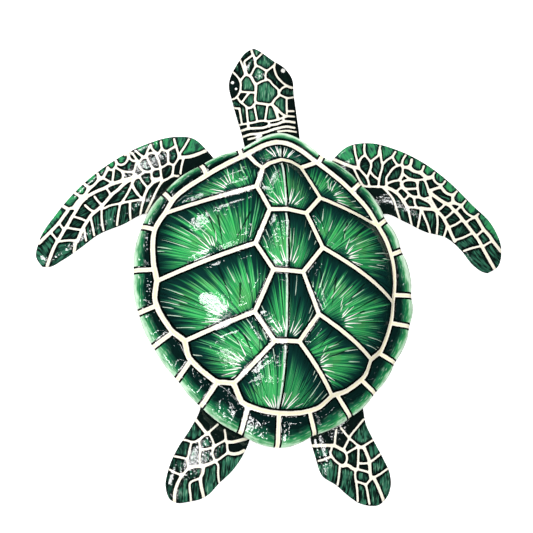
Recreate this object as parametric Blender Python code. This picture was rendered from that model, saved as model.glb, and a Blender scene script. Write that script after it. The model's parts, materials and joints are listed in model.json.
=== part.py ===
"""A painted sea turtle plaque: a domed shell over a flat belly plate, with a head and four flippers.

The turtle lies belly down with its head towards +Y. The origin is on the belly plate's underside,
below the middle of the shell. Lengths are in millimetres until a mesh is made, in metres.
"""

import math

import bmesh
import bpy
import numpy as np
from mathutils import Vector
from mathutils.geometry import delaunay_2d_cdt

MM = 0.001
FIT_GAP = 0.3

# Shell. Angles round it are in degrees from the head end, + to the turtle's right and - to its left.
# Each bar is the seam between two marginal scutes: its angle at the rim and at the ring seam, and
# the shell's radius at both.
BARS = (
    (-180, -180, 136.3, 108.5),
    (-165.8, -165.4, 130.6, 107.2),
    (-147.9, -147.8, 124.0, 101.2),
    (-134.7, -131.5, 119.8, 101.6),
    (-118.4, -115.6, 120.4, 102.0),
    (-103.8, -101.5, 122.6, 108.2),
    (-86.6, -84.8, 124.8, 109.6),
    (-69.0, -67.8, 128.0, 118.0),
    (-52.4, -53.7, 128.0, 119.0),
    (-34.4, -34.6, 125.8, 116.4),
    (-17.9, -17.5, 126.2, 120.2),
    (17.4, 16.1, 127.8, 120.6),
    (36.1, 34.9, 126.2, 115.2),
    (53.7, 54.3, 124.2, 114.4),
    (67.8, 68.5, 125.6, 113.3),
    (86.8, 87.0, 126.4, 108.6),
    (99.4, 100.8, 125.6, 106.6),
    (116.7, 117.4, 122.2, 105.4),
    (132.9, 134.3, 122.4, 105.4),
    (148.0, 149.4, 125.0, 104.4),
    (164.9, 165.5, 128.2, 108.2),
    (180, 180, 136.3, 108.5),
)
FRONT_RADII = (138.0, 131.2)
SCALLOP = 1.0
RIM_HEIGHT_FRONT = 36.0
RIM_HEIGHT_SIDE = 18.0
RIM_HEIGHT_REAR = 28.0
RING_HEIGHT_FRONT = 33.0
RING_HEIGHT_SIDE = 20.5
RING_HEIGHT_REAR = 31.0
RIM_THICKNESS = 4.4
EDGE_DROP = 1.8
EDGE_ROUND = 4.0
CROWN_HEIGHT = 54.0
CROWN_POWER = 3.3
CROWN_FRONT_INSET = 0.1
KEEL_HEIGHT = 1.6
KEEL_HALF_WIDTH = 16.0
SCUTE_RISE = 1.7
SCUTE_SHOULDER = 8.0
SEAM_HALF_WIDTH = 1.9
UNDERSIDE_HEIGHT = 15.3
UNDERSIDE_FLAT_SHARE = 0.64
RIM_STEPS_PER_SCUTE = 4
SEAM_STEP = 8.0
FILL_STEP = 7.5
FILL_CLEAR = 3.4

# Corners of the scutes' seams inside the ring seam: x, y.
SEAMS = (
    ((-29.7, 116), (-18.3, 105), (-12, 110.2), (-1, 114.5), (8, 113.8), (17.1, 109.8), (30.7, 116)),
    ((-18.3, 105), (-25.5, 85.8), (-101, 59.5)),
    ((17.1, 109.8), (32.1, 81), (91.3, 67.1)),
    ((-25.5, 85.8), (-15.7, 63.9), (-1, 64.7), (17.1, 63.5), (32.1, 81)),
    ((-15.7, 63.9), (-28.9, 32.1), (-106.5, -0.7)),
    ((17.1, 63.5), (31.2, 33.7), (106.8, -1.4)),
    ((-28.9, 32.1), (-13.3, 9.9), (-1, 9.8), (13.2, 10), (31.2, 33.7)),
    ((-13.3, 9.9), (-28.9, -27.8), (-82.1, -51.6)),
    ((13.2, 10), (27.6, -25.3), (83.6, -55.4)),
    ((-28.9, -27.8), (-11, -51.4), (10.6, -50.3), (27.6, -25.3)),
    ((-11, -51.4), (-43.1, -87.6)),
    ((10.6, -50.3), (47, -90.5)),
)

# Belly plate: corners on the +X side, from the neck to the tail.
PLATE_HEIGHT = 15.0
PLATE_EDGE_BEVEL = 3.0
NECK_CORNER = (32, 96)
SHOULDER_CORNER = (80, 50)
HIP_CORNER = (80, -48)
TAIL_CORNER = (30, -94)

# Limbs: each edge runs from the belly plate to the tip. The first number of a root is the share of
# the way along the plate's slanted side; the points are x, y.
FRONT_LEFT_LEADING = (0.12, (-47, 107), (-60.5, 123.8), (-74, 134), (-92, 133.5), (-116.6, 124),
                      (-145.8, 105), (-171, 81.8), (-191.2, 55.5), (-205, 30), (-206.5, 16), (-201, 8.5))
FRONT_LEFT_TRAILING = (0.93, (-96, 60), (-113, 62), (-134.4, 49.9), (-155.3, 39), (-170.2, 26.2),
                       (-185, 14.5), (-194, 9), (-201, 8.5))
FRONT_RIGHT_LEADING = (0.12, (46, 112), (57, 131), (70, 143), (90, 147.8), (116, 144),
                       (143, 133.8), (165.5, 119.8), (188, 101), (210, 82), (219, 61), (215, 44), (206, 38))
FRONT_RIGHT_TRAILING = (0.93, (90, 72), (104, 82.5), (124, 76.8), (142, 69.8), (164.5, 65.8), (178, 56.8),
                        (191, 44), (199, 39.5), (206, 38))
HIND_LEFT_OUTER = (0.3, (-61, -90), (-63, -105), (-71, -122), (-82, -140), (-89, -158),
                   (-90.5, -172), (-86, -182), (-79, -184.5), (-70, -182.5))
HIND_LEFT_INNER = (0.97, (-23, -110), (-19, -126), (-22, -141.6), (-31.2, -157.5), (-44.2, -168),
                   (-54, -177), (-60, -180.5), (-70, -182.5))
HIND_RIGHT_OUTER = (0.08, (80, -80), (83, -97), (85, -108), (92, -122), (101, -137), (108, -151),
                    (109, -161), (105, -172), (98, -178), (90, -178.5))
HIND_RIGHT_INNER = (0.9, (35, -108), (35, -123), (40, -141.3), (46, -155.8), (59, -163), (70, -171),
                    (80, -176.5), (90, -178.5))
FRONT_CENTRE_HEIGHTS = (7.8, 10.5, 9.5, 3.6)
FRONT_HALF_THICKNESSES = (4.6, 5.4, 4.6, 3.6)
HIND_CENTRE_HEIGHTS = (7.8, 9.5, 8.0, 3.4)
HIND_HALF_THICKNESSES = (4.8, 5.0, 4.4, 3.4)
LIMB_FULLNESS = 2.6
LIMB_END_ROUND = 0.08

# Head and neck: edges as above, and the heights of its top and underside from the plate to the nose.
HEAD_LEFT = ((-24, 96.3), (-27, 125), (-31, 140), (-36, 155), (-41, 171), (-44, 184), (-42, 195),
             (-36, 208), (-29, 218), (-21, 222.5))
HEAD_RIGHT = ((24, 96.3), (22.5, 125), (20.5, 147), (18, 162), (15, 180), (11.8, 196), (7, 206.5),
              (-1, 212.5), (-12, 219), (-21, 222.5))
HEAD_TOPS = (14.6, 22.6, 29.4, 31.5, 33.5, 34.5, 32.0, 24.0)
HEAD_UNDERSIDES = (2.0, 2.0, 2.0, 2.4, 2.0, 2.0, 3.0, 8.0)
HEAD_FULLNESS = 2.2
HEAD_END_ROUND = 0.1
EYE_CENTRES = ((-42.0, 189.0, 22.0), (12.5, 196.0, 22.0))
EYE_BULGE = 1.6
EYE_REACH = 9.0


def clear_scene():
    for old in list(bpy.data.objects):
        bpy.data.objects.remove(old)


def painted(name, colour, roughness=0.25):
    """A glossy paint, sRGB colour given as linear RGB."""
    material = bpy.data.materials.new(name)
    material.use_nodes = True
    shader = material.node_tree.nodes["Principled BSDF"]
    shader.inputs["Base Color"].default_value = (*colour, 1.0)
    shader.inputs["Roughness"].default_value = roughness
    shader.inputs["Metallic"].default_value = 0.0
    return material


def smoothstep(value):
    value = np.clip(value, 0.0, 1.0)
    return value * value * (3 - 2 * value)


def eased(knots, values, flat_ends=False):
    """A smooth function through the values at the knots: cubic pieces with shared slopes."""
    knots = np.asarray(knots, float)
    values = np.asarray(values, float)
    slopes = np.gradient(values, knots, axis=0)
    if flat_ends:
        slopes[0] = slopes[-1] = 0.0

    def value(at):
        at = np.clip(at, knots[0], knots[-1])
        i = np.clip(np.searchsorted(knots, at, side="right") - 1, 0, len(knots) - 2)
        span = knots[i + 1] - knots[i]
        s = (at - knots[i]) / span
        shape = (...,) + (None,) * (values.ndim - 1)
        s, span = s[shape], span[shape]
        return (
            values[i] * (1 + 2 * s) * (1 - s) ** 2
            + values[i + 1] * s * s * (3 - 2 * s)
            + slopes[i] * span * s * (1 - s) ** 2
            - slopes[i + 1] * span * s * s * (1 - s)
        )

    return value


# The shell's plan and heights, as functions of the angle round it.
RIM_STOPS = tuple(bar[0] for bar in BARS)
FRONT = sum(bar[0] < 0 for bar in BARS)


def round_shell(angles, radii, front):
    """A smooth radius through the bars' ends and the front of the shell."""
    angles = list(angles[:FRONT]) + [0.0] + list(angles[FRONT:])
    radii = list(radii[:FRONT]) + [front] + list(radii[FRONT:])
    return eased(angles, radii, flat_ends=True)


rim_radius_smooth = round_shell(RIM_STOPS, [bar[2] for bar in BARS], FRONT_RADII[0])
ring_radius = round_shell([bar[1] for bar in BARS], [bar[3] for bar in BARS], FRONT_RADII[1])


def rim_radius(angle):
    """The rim bulges a little between each two bars."""
    stops = np.array(RIM_STOPS)
    i = np.clip(np.searchsorted(stops, angle, side="right") - 1, 0, len(stops) - 2)
    share = (angle - stops[i]) / (stops[i + 1] - stops[i])
    return rim_radius_smooth(angle) + SCALLOP * np.sin(np.pi * share)


def by_end(angle, front, side, rear):
    """A height that changes from the sides to the two ends of the shell."""
    along = np.cos(np.radians(angle))
    return side + (np.where(along > 0, front, rear) - side) * along**2


def rim_height(angle):
    """The rim is lowest at the sides and lifts over the neck and the tail."""
    return by_end(angle, RIM_HEIGHT_FRONT, RIM_HEIGHT_SIDE, RIM_HEIGHT_REAR)


def ring_height(angle):
    return by_end(angle, RING_HEIGHT_FRONT, RING_HEIGHT_SIDE, RING_HEIGHT_REAR)


def polar(x, y):
    """Angle from the head end in degrees, and radius."""
    return np.degrees(np.arctan2(x, y)), np.hypot(x, y)


def plan_point(angle, radius):
    turn = math.radians(angle)
    return radius * math.sin(turn), radius * math.cos(turn)


def dome_height(x, y):
    """The top of the shell without its scutes' relief: a dome inside the ring seam, a brim outside."""
    angle, radius = polar(x, y)
    rim, ring = rim_radius(angle), ring_radius(angle)
    low, seam = rim_height(angle), ring_height(angle)
    inside = np.clip(radius / ring, 0, 1)
    front = np.clip(np.cos(np.radians(angle)), 0, 1) ** 2
    fall = np.clip(inside / (1 - CROWN_FRONT_INSET * front), 0, 1) ** CROWN_POWER
    keel = KEEL_HEIGHT * np.clip(1 - np.abs(x) / KEEL_HALF_WIDTH, 0, 1) ** 1.3
    keel *= smoothstep((1 - inside) / 0.2)
    crown = seam + (CROWN_HEIGHT - seam) * (1 - fall) + keel
    to_rim = np.clip(rim - radius, 0, None)
    outward = np.clip((radius - ring) / np.maximum(rim - ring, 1), 0, 1)
    brim = seam + (low - seam) * outward
    brim = brim - EDGE_DROP * np.clip(1 - to_rim / EDGE_ROUND, 0, 1) ** 2
    return np.where(radius < ring, crown, brim)


def seam_segments():
    """Every seam as a straight run: the scutes' seams, the bars and the ring."""
    runs = [pair for line in SEAMS for pair in zip(line, line[1:])]
    for at_rim, at_ring, rim, ring in BARS[1:]:
        runs.append((plan_point(at_ring, ring), plan_point(at_rim, rim)))
    stops = np.linspace(-180, 180, 121)
    ring = [plan_point(a, r) for a, r in zip(stops, ring_radius(stops))]
    runs += list(zip(ring, ring[1:]))
    return np.array(runs, float)


def seam_distance(x, y, runs):
    """How far each point is from the nearest seam."""
    point = np.stack([x, y], -1)[:, None, :]
    start, along = runs[None, :, 0], (runs[:, 1] - runs[:, 0])[None]
    length_squared = np.maximum((along**2).sum(-1), 1e-9)
    share = np.clip(((point - start) * along).sum(-1) / length_squared, 0, 1)
    return np.linalg.norm(point - start - share[..., None] * along, axis=-1).min(1)


def shell_top(x, y, runs):
    rise = smoothstep((seam_distance(x, y, runs) - SEAM_HALF_WIDTH) / SCUTE_SHOULDER)
    return dome_height(x, y) + SCUTE_RISE * rise


def shell_underside(x, y):
    """Flat over the belly plate, then rising or falling to the underside of the rim."""
    angle, radius = polar(x, y)
    share = radius / rim_radius(angle)
    edge = rim_height(angle) - RIM_THICKNESS
    out = smoothstep((share - UNDERSIDE_FLAT_SHARE) / (1 - UNDERSIDE_FLAT_SHARE))
    return UNDERSIDE_HEIGHT + (edge - UNDERSIDE_HEIGHT) * out


def rim_loop():
    """Points round the rim, evenly spread in each marginal scute."""
    angles = [
        low + (high - low) * k / RIM_STEPS_PER_SCUTE
        for low, high in zip(RIM_STOPS, RIM_STOPS[1:])
        for k in range(RIM_STEPS_PER_SCUTE)
    ]
    return [plan_point(a, r) for a, r in zip(angles, rim_radius(np.array(angles)))]


def split_run(start, end, step):
    count = max(1, round(math.dist(start, end) / step))
    return [
        (start[0] + (end[0] - start[0]) * k / count, start[1] + (end[1] - start[1]) * k / count)
        for k in range(count + 1)
    ]


def triangulate(loop, runs, loose):
    """Triangles filling the loop, with edges along the runs and corners at the loose points."""
    points = [Vector(p) for p in loop]
    edges = []
    for start, end in runs:
        steps = split_run(start, end, SEAM_STEP)
        first = len(points)
        points += [Vector(p) for p in steps]
        edges += [(first + k, first + k + 1) for k in range(len(steps) - 1)]
    points += [Vector(p) for p in loose]
    face = list(range(len(loop)))
    found = delaunay_2d_cdt(points, edges, [face], 1, 0.6)
    return np.array([tuple(v) for v in found[0]]), found[2]


def inside_rim(x, y, margin):
    angle, radius = polar(x, y)
    return radius < rim_radius(angle) - margin


def fill_points(step, margin, runs):
    """A staggered grid over the shell, kept clear of the rim and of the seams."""
    count = int(150 / step)
    grid = [
        ((i + 0.5 * (j % 2)) * step, j * step * 0.87)
        for j in range(-2 * count, 2 * count)
        for i in range(-count, count)
    ]
    x, y = np.array(grid).T
    kept = inside_rim(x, y, margin)
    x, y = x[kept], y[kept]
    if len(runs):
        clear = seam_distance(x, y, runs) > FILL_CLEAR
        x, y = x[clear], y[clear]
    return list(zip(x, y))


def object_from(name, vertices, faces, material):
    """A closed object from points in millimetres, facing out, smooth but for its sharp edges."""
    mesh = bpy.data.meshes.new(name)
    mesh.from_pydata([Vector(v) * MM for v in vertices], [], faces)
    shape = bmesh.new()
    shape.from_mesh(mesh)
    bmesh.ops.recalc_face_normals(shape, faces=shape.faces)
    shape.to_mesh(mesh)
    shape.free()
    mesh.materials.append(material)
    mesh.shade_smooth()
    mesh.set_sharp_from_angle(angle=math.radians(40))
    made = bpy.data.objects.new(name, mesh)
    bpy.context.scene.collection.objects.link(made)
    return made


def make_shell(material):
    """The carapace: a domed top with raised scutes, a thin rounded rim and a shallow underside."""
    loop = rim_loop()
    runs = seam_segments()
    seams_inside = [
        (a, b) for a, b in runs
        if inside_rim(*np.array([a, b]).T, 1.0).all()
    ]
    bars = [
        ((a[0], a[1]), (b[0] * 0.985, b[1] * 0.985)) for a, b in runs
        if not inside_rim(*np.array([a, b]).T, 1.0).all()
    ]
    shoulder = [(x * 0.975, y * 0.975) for x, y in loop]
    keel_line = [((0.0, 112.4), (0.0, -108.6))]
    plan, triangles = triangulate(
        loop, seams_inside + bars + keel_line, shoulder + fill_points(FILL_STEP, 6.0, runs)
    )
    top = np.column_stack([plan, shell_top(*plan.T, runs)])
    rings = [(x * s, y * s) for s in (0.97, 0.9, 0.8, 0.7, 0.6) for x, y in loop[::2]]
    under_plan, under_triangles = triangulate(loop, [], rings + fill_points(30.0, 60.0, []))
    under = np.column_stack([under_plan, shell_underside(*under_plan.T)])
    vertices = list(top) + list(under)
    first = len(top)
    faces = [tuple(t) for t in triangles]
    faces += [tuple(first + k for k in reversed(t)) for t in under_triangles]
    count = len(loop)
    for k in range(count):
        after = (k + 1) % count
        faces.append((k, first + k, first + after, after))
    return object_from("shell", vertices, faces, material)


def along_edge(points, count):
    """The edge through the points, smoothed, at evenly spaced stations from root to tip."""
    points = np.array(points, float)
    lengths = np.concatenate([[0], np.cumsum(np.linalg.norm(np.diff(points, axis=0), axis=1))])
    curve = eased(lengths, points)
    fine = curve(np.linspace(0, lengths[-1], 400))
    walked = np.concatenate([[0], np.cumsum(np.linalg.norm(np.diff(fine, axis=0), axis=1))])
    wanted = np.linspace(0, walked[-1], count)
    return np.column_stack([np.interp(wanted, walked, fine[:, k]) for k in (0, 1)])


def superellipse(turn, fullness):
    """A rounded box section: fullness 2 is an ellipse, more is squarer."""
    power = 2 / fullness
    across = np.sign(np.cos(turn)) * np.abs(np.cos(turn)) ** power
    up = np.sign(np.sin(turn)) * np.abs(np.sin(turn)) ** power
    return across, up


def loft(edges, tops, undersides, fullness, end_round, stations, around, shape=None):
    """A closed body between two edges in plan, from a flat root to a rounded tip."""
    first, second = (along_edge(e, stations) for e in edges)
    share = np.linspace(0, 1, stations)
    closing = np.clip((share - (1 - end_round)) / end_round, 0, 1)
    thinning = np.sqrt(np.clip(1 - closing**2, 0, 1))
    high = eased(np.linspace(0, 1, len(tops)), tops)(share)
    low = eased(np.linspace(0, 1, len(undersides)), undersides)(share)
    centre, half = (high + low) / 2, (high - low) / 2 * thinning
    across, up = superellipse(np.linspace(0, 2 * np.pi, around, endpoint=False), fullness)
    vertices = []
    for k in range(stations - 1):
        middle, reach = (first[k] + second[k]) / 2, (second[k] - first[k]) / 2
        plan = middle + across[:, None] * reach
        vertices += list(np.column_stack([plan, centre[k] + half[k] * up]))
    vertices.append((*first[-1], centre[-1]))
    if shape:
        vertices = shape(np.array(vertices))
    faces = [tuple(reversed(range(around)))]
    for k in range(stations - 2):
        for j in range(around):
            after = (j + 1) % around
            a, b = k * around, (k + 1) * around
            faces.append((a + j, a + after, b + after, b + j))
    last = (stations - 2) * around
    faces += [(last + j, last + (j + 1) % around, len(vertices) - 1) for j in range(around)]
    return vertices, faces


def plate_side(start, end, share, side):
    """A point just off the belly plate's slanted side; side is -1 for the turtle's left."""
    start, end = np.array(start, float), np.array(end, float)
    along = (end - start) / np.linalg.norm(end - start)
    out = np.array([-along[1], along[0]])
    if out[0] < 0:
        out = -out
    point = start + (end - start) * share + out * FIT_GAP
    return float(point[0] * side), float(point[1])


def make_limb(name, edges, side, joint, heights, thicknesses, stations, around, material):
    """A flipper: a thin blade with rounded edges, its root face flat against the belly plate."""
    start, end = joint
    rooted = [[plate_side(start, end, e[0], side), *e[1:]] for e in edges]
    heights, thicknesses = np.array(heights), np.array(thicknesses)
    vertices, faces = loft(
        rooted, heights + thicknesses, heights - thicknesses,
        LIMB_FULLNESS, LIMB_END_ROUND, stations, around,
    )
    return object_from(name, vertices, faces, material)


def bulge_eyes(vertices):
    """Swells the head round each eye, away from the head's middle line."""
    middle = np.array([-15.0, 190.0, 18.0])
    for eye in EYE_CENTRES:
        reach = np.linalg.norm(vertices - eye, axis=1)
        swell = EYE_BULGE * np.exp(-((reach / EYE_REACH) ** 2))
        out = vertices - middle
        out /= np.maximum(np.linalg.norm(out, axis=1), 1e-6)[:, None]
        vertices = vertices + out * swell[:, None]
    return vertices


def make_head(material):
    vertices, faces = loft(
        (HEAD_LEFT, HEAD_RIGHT), HEAD_TOPS, HEAD_UNDERSIDES,
        HEAD_FULLNESS, HEAD_END_ROUND, 34, 24, bulge_eyes,
    )
    return object_from("head", vertices, faces, material)


def make_plate(material):
    """The belly plate: flat underneath, with a face for each limb and one for the neck."""
    right = [NECK_CORNER, SHOULDER_CORNER, HIP_CORNER, TAIL_CORNER]
    outline = right + [(-x, y) for x, y in reversed(right)]
    shape = bmesh.new()
    base = [shape.verts.new((x * MM, y * MM, 0)) for x, y in outline]
    bottom = shape.faces.new(base)
    raised = bmesh.ops.extrude_face_region(shape, geom=[bottom])["geom"]
    tops = [v for v in raised if isinstance(v, bmesh.types.BMVert)]
    bmesh.ops.translate(shape, verts=tops, vec=(0, 0, PLATE_HEIGHT * MM))
    shape.verts.ensure_lookup_table()
    lower = [e for e in shape.edges if all(abs(v.co.z) < 1e-7 for v in e.verts)]
    bmesh.ops.bevel(
        shape, geom=lower, offset=PLATE_EDGE_BEVEL * MM, segments=3, profile=0.5, affect="EDGES"
    )
    bmesh.ops.recalc_face_normals(shape, faces=shape.faces)
    mesh = bpy.data.meshes.new("plastron")
    shape.to_mesh(mesh)
    shape.free()
    mesh.materials.append(material)
    mesh.set_sharp_from_angle(angle=math.radians(40))
    made = bpy.data.objects.new("plastron", mesh)
    bpy.context.scene.collection.objects.link(made)
    return made


def main():
    clear_scene()
    make_shell(painted("shell_paint", (0.03, 0.25, 0.09)))
    make_head(painted("head_paint", (0.03, 0.12, 0.07)))
    shoulder = (NECK_CORNER, SHOULDER_CORNER)
    hip = (HIP_CORNER, TAIL_CORNER)
    limb_paint = painted("flipper_paint", (0.02, 0.10, 0.06))
    front = (FRONT_CENTRE_HEIGHTS, FRONT_HALF_THICKNESSES, 40, 16)
    hind = (HIND_CENTRE_HEIGHTS, HIND_HALF_THICKNESSES, 26, 14)
    limbs = (
        ("front_flipper_left", (FRONT_LEFT_LEADING, FRONT_LEFT_TRAILING), -1, shoulder, front),
        ("front_flipper_right", (FRONT_RIGHT_LEADING, FRONT_RIGHT_TRAILING), 1, shoulder, front),
        ("hind_flipper_left", (HIND_LEFT_OUTER, HIND_LEFT_INNER), -1, hip, hind),
        ("hind_flipper_right", (HIND_RIGHT_OUTER, HIND_RIGHT_INNER), 1, hip, hind),
    )
    for name, edges, side, joint, form in limbs:
        make_limb(name, edges, side, joint, *form, limb_paint)
    make_plate(painted("plate_paint", (0.01, 0.04, 0.03), 0.5))


main()
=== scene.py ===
"""The painted sea turtle plaque: its fine shapes, its paint and varnish, and a plain studio."""

import json
import math

import bmesh
import bpy
import numpy as np
from mathutils import Matrix, Vector

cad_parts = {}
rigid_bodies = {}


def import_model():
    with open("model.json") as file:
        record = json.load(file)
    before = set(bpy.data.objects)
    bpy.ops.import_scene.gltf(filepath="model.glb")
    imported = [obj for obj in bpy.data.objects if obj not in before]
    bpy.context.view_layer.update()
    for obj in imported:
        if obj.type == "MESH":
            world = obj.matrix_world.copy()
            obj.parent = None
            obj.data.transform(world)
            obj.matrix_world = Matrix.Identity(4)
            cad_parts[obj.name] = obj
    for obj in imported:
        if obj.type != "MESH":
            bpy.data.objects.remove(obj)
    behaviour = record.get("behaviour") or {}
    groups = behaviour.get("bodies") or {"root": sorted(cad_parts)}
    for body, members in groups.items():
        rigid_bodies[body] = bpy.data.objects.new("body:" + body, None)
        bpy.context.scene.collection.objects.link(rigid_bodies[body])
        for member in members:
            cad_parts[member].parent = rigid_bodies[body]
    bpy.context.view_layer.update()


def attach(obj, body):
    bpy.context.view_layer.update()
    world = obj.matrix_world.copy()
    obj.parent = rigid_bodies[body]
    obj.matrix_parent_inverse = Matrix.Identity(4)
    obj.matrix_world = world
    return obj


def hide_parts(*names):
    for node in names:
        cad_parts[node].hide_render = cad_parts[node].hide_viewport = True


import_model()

MM = 0.001

# ---- the photograph's camera, in millimetres ----

PHOTO_SIZE = 533
FOCAL_PIXELS = 1800.0
MM_PER_PIXEL = 0.86
TO_CAMERA = (-0.28, -0.26)
CAMERA_ROLL = 0.01
CAMERA_TARGET = np.array((-11.17, 19.42, 27.08))


def camera_axes():
    """Right, up and back of the camera."""
    x, y = TO_CAMERA
    back = np.array((x, y, math.sqrt(1 - x * x - y * y)))
    up = np.array((0.0, 1.0, 0.0)) - back * back[1]
    up /= np.linalg.norm(up)
    right = np.cross(up, back)
    cosine, sine = math.cos(CAMERA_ROLL), math.sin(CAMERA_ROLL)
    return cosine * right + sine * up, cosine * up - sine * right, back


RIGHT, UP, BACK = camera_axes()
CAMERA_DISTANCE = FOCAL_PIXELS * MM_PER_PIXEL


def to_photo(points):
    """Where points, in millimetres, fall in the photograph, in its pixels."""
    from_target = np.asarray(points, float) - CAMERA_TARGET
    depth = 1 - from_target @ BACK / CAMERA_DISTANCE
    across = from_target @ RIGHT / depth / MM_PER_PIXEL
    upward = from_target @ UP / depth / MM_PER_PIXEL
    return np.stack([PHOTO_SIZE / 2 + across, PHOTO_SIZE / 2 - upward], -1)


# ---- smooth functions ----


def smoothstep(value):
    value = np.clip(value, 0.0, 1.0)
    return value * value * (3 - 2 * value)


def eased(knots, values, flat_ends=False):
    """A smooth function through the values at the knots: cubic pieces with shared slopes."""
    knots = np.asarray(knots, float)
    values = np.asarray(values, float)
    slopes = np.gradient(values, knots, axis=0)
    if flat_ends:
        slopes[0] = slopes[-1] = 0.0

    def value(at):
        at = np.clip(at, knots[0], knots[-1])
        i = np.clip(np.searchsorted(knots, at, side="right") - 1, 0, len(knots) - 2)
        span = knots[i + 1] - knots[i]
        s = (at - knots[i]) / span
        shape = (...,) + (None,) * (values.ndim - 1)
        s, span = s[shape], span[shape]
        return (
            values[i] * (1 + 2 * s) * (1 - s) ** 2
            + values[i + 1] * s * s * (3 - 2 * s)
            + slopes[i] * span * s * (1 - s) ** 2
            - slopes[i + 1] * span * s * s * (1 - s)
        )

    return value


def walked(points):
    """How far along a line of points each of them is."""
    return np.concatenate([[0], np.cumsum(np.linalg.norm(np.diff(points, axis=0), axis=1))])


# Points taken at a time, so that their distances fit in little memory.
CHUNK = 20000


def run_distance(points, runs, widths=None):
    """The distance from each point to the nearest straight run, less that run's half width."""
    runs = np.asarray(runs, float)
    start, along = runs[:, 0], runs[:, 1] - runs[:, 0]
    length_squared = np.maximum((along**2).sum(-1), 1e-9)
    widths = np.zeros(len(runs)) if widths is None else np.asarray(widths)
    nearest = np.full(len(points), 1e9)
    for first in range(0, len(points), CHUNK):
        part = points[first : first + CHUNK, None, :] - start[None]
        share = np.clip((part * along).sum(-1) / length_squared, 0, 1)
        gap = np.linalg.norm(part - share[..., None] * along, axis=-1) - widths
        nearest[first : first + CHUNK] = gap.min(1)
    return nearest


# ---- the shell's shape, as in its solid ----

# Each bar between two marginal scutes: its angle at the rim and at the ring seam, in degrees from
# the head, and its distance from the middle at the rim and at the ring seam. All in millimetres.
BARS = (
    (-180, -180, 136.3, 108.5),
    (-165.8, -165.4, 130.6, 107.2),
    (-147.9, -147.8, 124.0, 101.2),
    (-134.7, -131.5, 119.8, 101.6),
    (-118.4, -115.6, 120.4, 102.0),
    (-103.8, -101.5, 122.6, 108.2),
    (-86.6, -84.8, 124.8, 109.6),
    (-69.0, -67.8, 128.0, 118.0),
    (-52.4, -53.7, 128.0, 119.0),
    (-34.4, -34.6, 125.8, 116.4),
    (-17.9, -17.5, 126.2, 120.2),
    (17.4, 16.1, 127.8, 120.6),
    (36.1, 34.9, 126.2, 115.2),
    (53.7, 54.3, 124.2, 114.4),
    (67.8, 68.5, 125.6, 113.3),
    (86.8, 87.0, 126.4, 108.6),
    (99.4, 100.8, 125.6, 106.6),
    (116.7, 117.4, 122.2, 105.4),
    (132.9, 134.3, 122.4, 105.4),
    (148.0, 149.4, 125.0, 104.4),
    (164.9, 165.5, 128.2, 108.2),
    (180, 180, 136.3, 108.5),
)
FRONT_RADII = (138.0, 131.2)
RIM_HEIGHTS = (36.0, 18.0, 28.0)
RING_HEIGHTS = (33.0, 20.5, 31.0)
SCALLOP = 1.0
RIM_THICKNESS = 4.4
EDGE_DROP = 1.8
EDGE_ROUND = 4.0
CROWN_HEIGHT = 54.0
CROWN_POWER = 3.3
CROWN_FRONT_INSET = 0.1
KEEL_HEIGHT = 1.6
KEEL_HALF_WIDTH = 16.0
SCUTE_RISE = 1.7
SCUTE_SHOULDER = 8.0
SEAM_HALF_WIDTH = 1.9
UNDERSIDE_HEIGHT = 15.3
UNDERSIDE_FLAT_SHARE = 0.64

RIM_STOPS = np.array([bar[0] for bar in BARS], float)
FRONT = int((RIM_STOPS < 0).sum())


def round_shell(column, front_column, front):
    angles = [bar[front_column] for bar in BARS]
    radii = [bar[column] for bar in BARS]
    angles = angles[:FRONT] + [0.0] + angles[FRONT:]
    radii = radii[:FRONT] + [front] + radii[FRONT:]
    return eased(angles, radii, flat_ends=True)


rim_radius_smooth = round_shell(2, 0, FRONT_RADII[0])
ring_radius = round_shell(3, 1, FRONT_RADII[1])


def rim_radius(angle):
    i = np.clip(np.searchsorted(RIM_STOPS, angle, side="right") - 1, 0, len(RIM_STOPS) - 2)
    share = (angle - RIM_STOPS[i]) / (RIM_STOPS[i + 1] - RIM_STOPS[i])
    return rim_radius_smooth(angle) + SCALLOP * np.sin(np.pi * share)


def by_end(angle, heights):
    """A height that changes from the sides to the two ends of the shell."""
    front, side, rear = heights
    along = np.cos(np.radians(angle))
    return side + (np.where(along > 0, front, rear) - side) * along**2


def polar(plan):
    return np.degrees(np.arctan2(plan[:, 0], plan[:, 1])), np.hypot(plan[:, 0], plan[:, 1])


def plan_point(angle, radius):
    turn = np.radians(angle)
    return np.stack([radius * np.sin(turn), radius * np.cos(turn)], -1)


def dome_height(plan):
    """The top of the shell without its scutes' relief."""
    angle, radius = polar(plan)
    rim, ring = rim_radius(angle), ring_radius(angle)
    low, seam = by_end(angle, RIM_HEIGHTS), by_end(angle, RING_HEIGHTS)
    inside = np.clip(radius / ring, 0, 1)
    front = np.clip(np.cos(np.radians(angle)), 0, 1) ** 2
    fall = np.clip(inside / (1 - CROWN_FRONT_INSET * front), 0, 1) ** CROWN_POWER
    keel = KEEL_HEIGHT * np.clip(1 - np.abs(plan[:, 0]) / KEEL_HALF_WIDTH, 0, 1) ** 1.3
    keel = keel * smoothstep((1 - inside) / 0.2)
    crown = seam + (CROWN_HEIGHT - seam) * (1 - fall) + keel
    outward = np.clip((radius - ring) / np.maximum(rim - ring, 1), 0, 1)
    to_rim = np.clip(rim - radius, 0, None)
    brim = seam + (low - seam) * outward
    brim = brim - EDGE_DROP * np.clip(1 - to_rim / EDGE_ROUND, 0, 1) ** 2
    return np.where(radius < ring, crown, brim)


def shell_underside(plan):
    angle, radius = polar(plan)
    share = radius / rim_radius(angle)
    edge = by_end(angle, RIM_HEIGHTS) - RIM_THICKNESS
    out = smoothstep((share - UNDERSIDE_FLAT_SHARE) / (1 - UNDERSIDE_FLAT_SHARE))
    return UNDERSIDE_HEIGHT + (edge - UNDERSIDE_HEIGHT) * out


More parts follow.
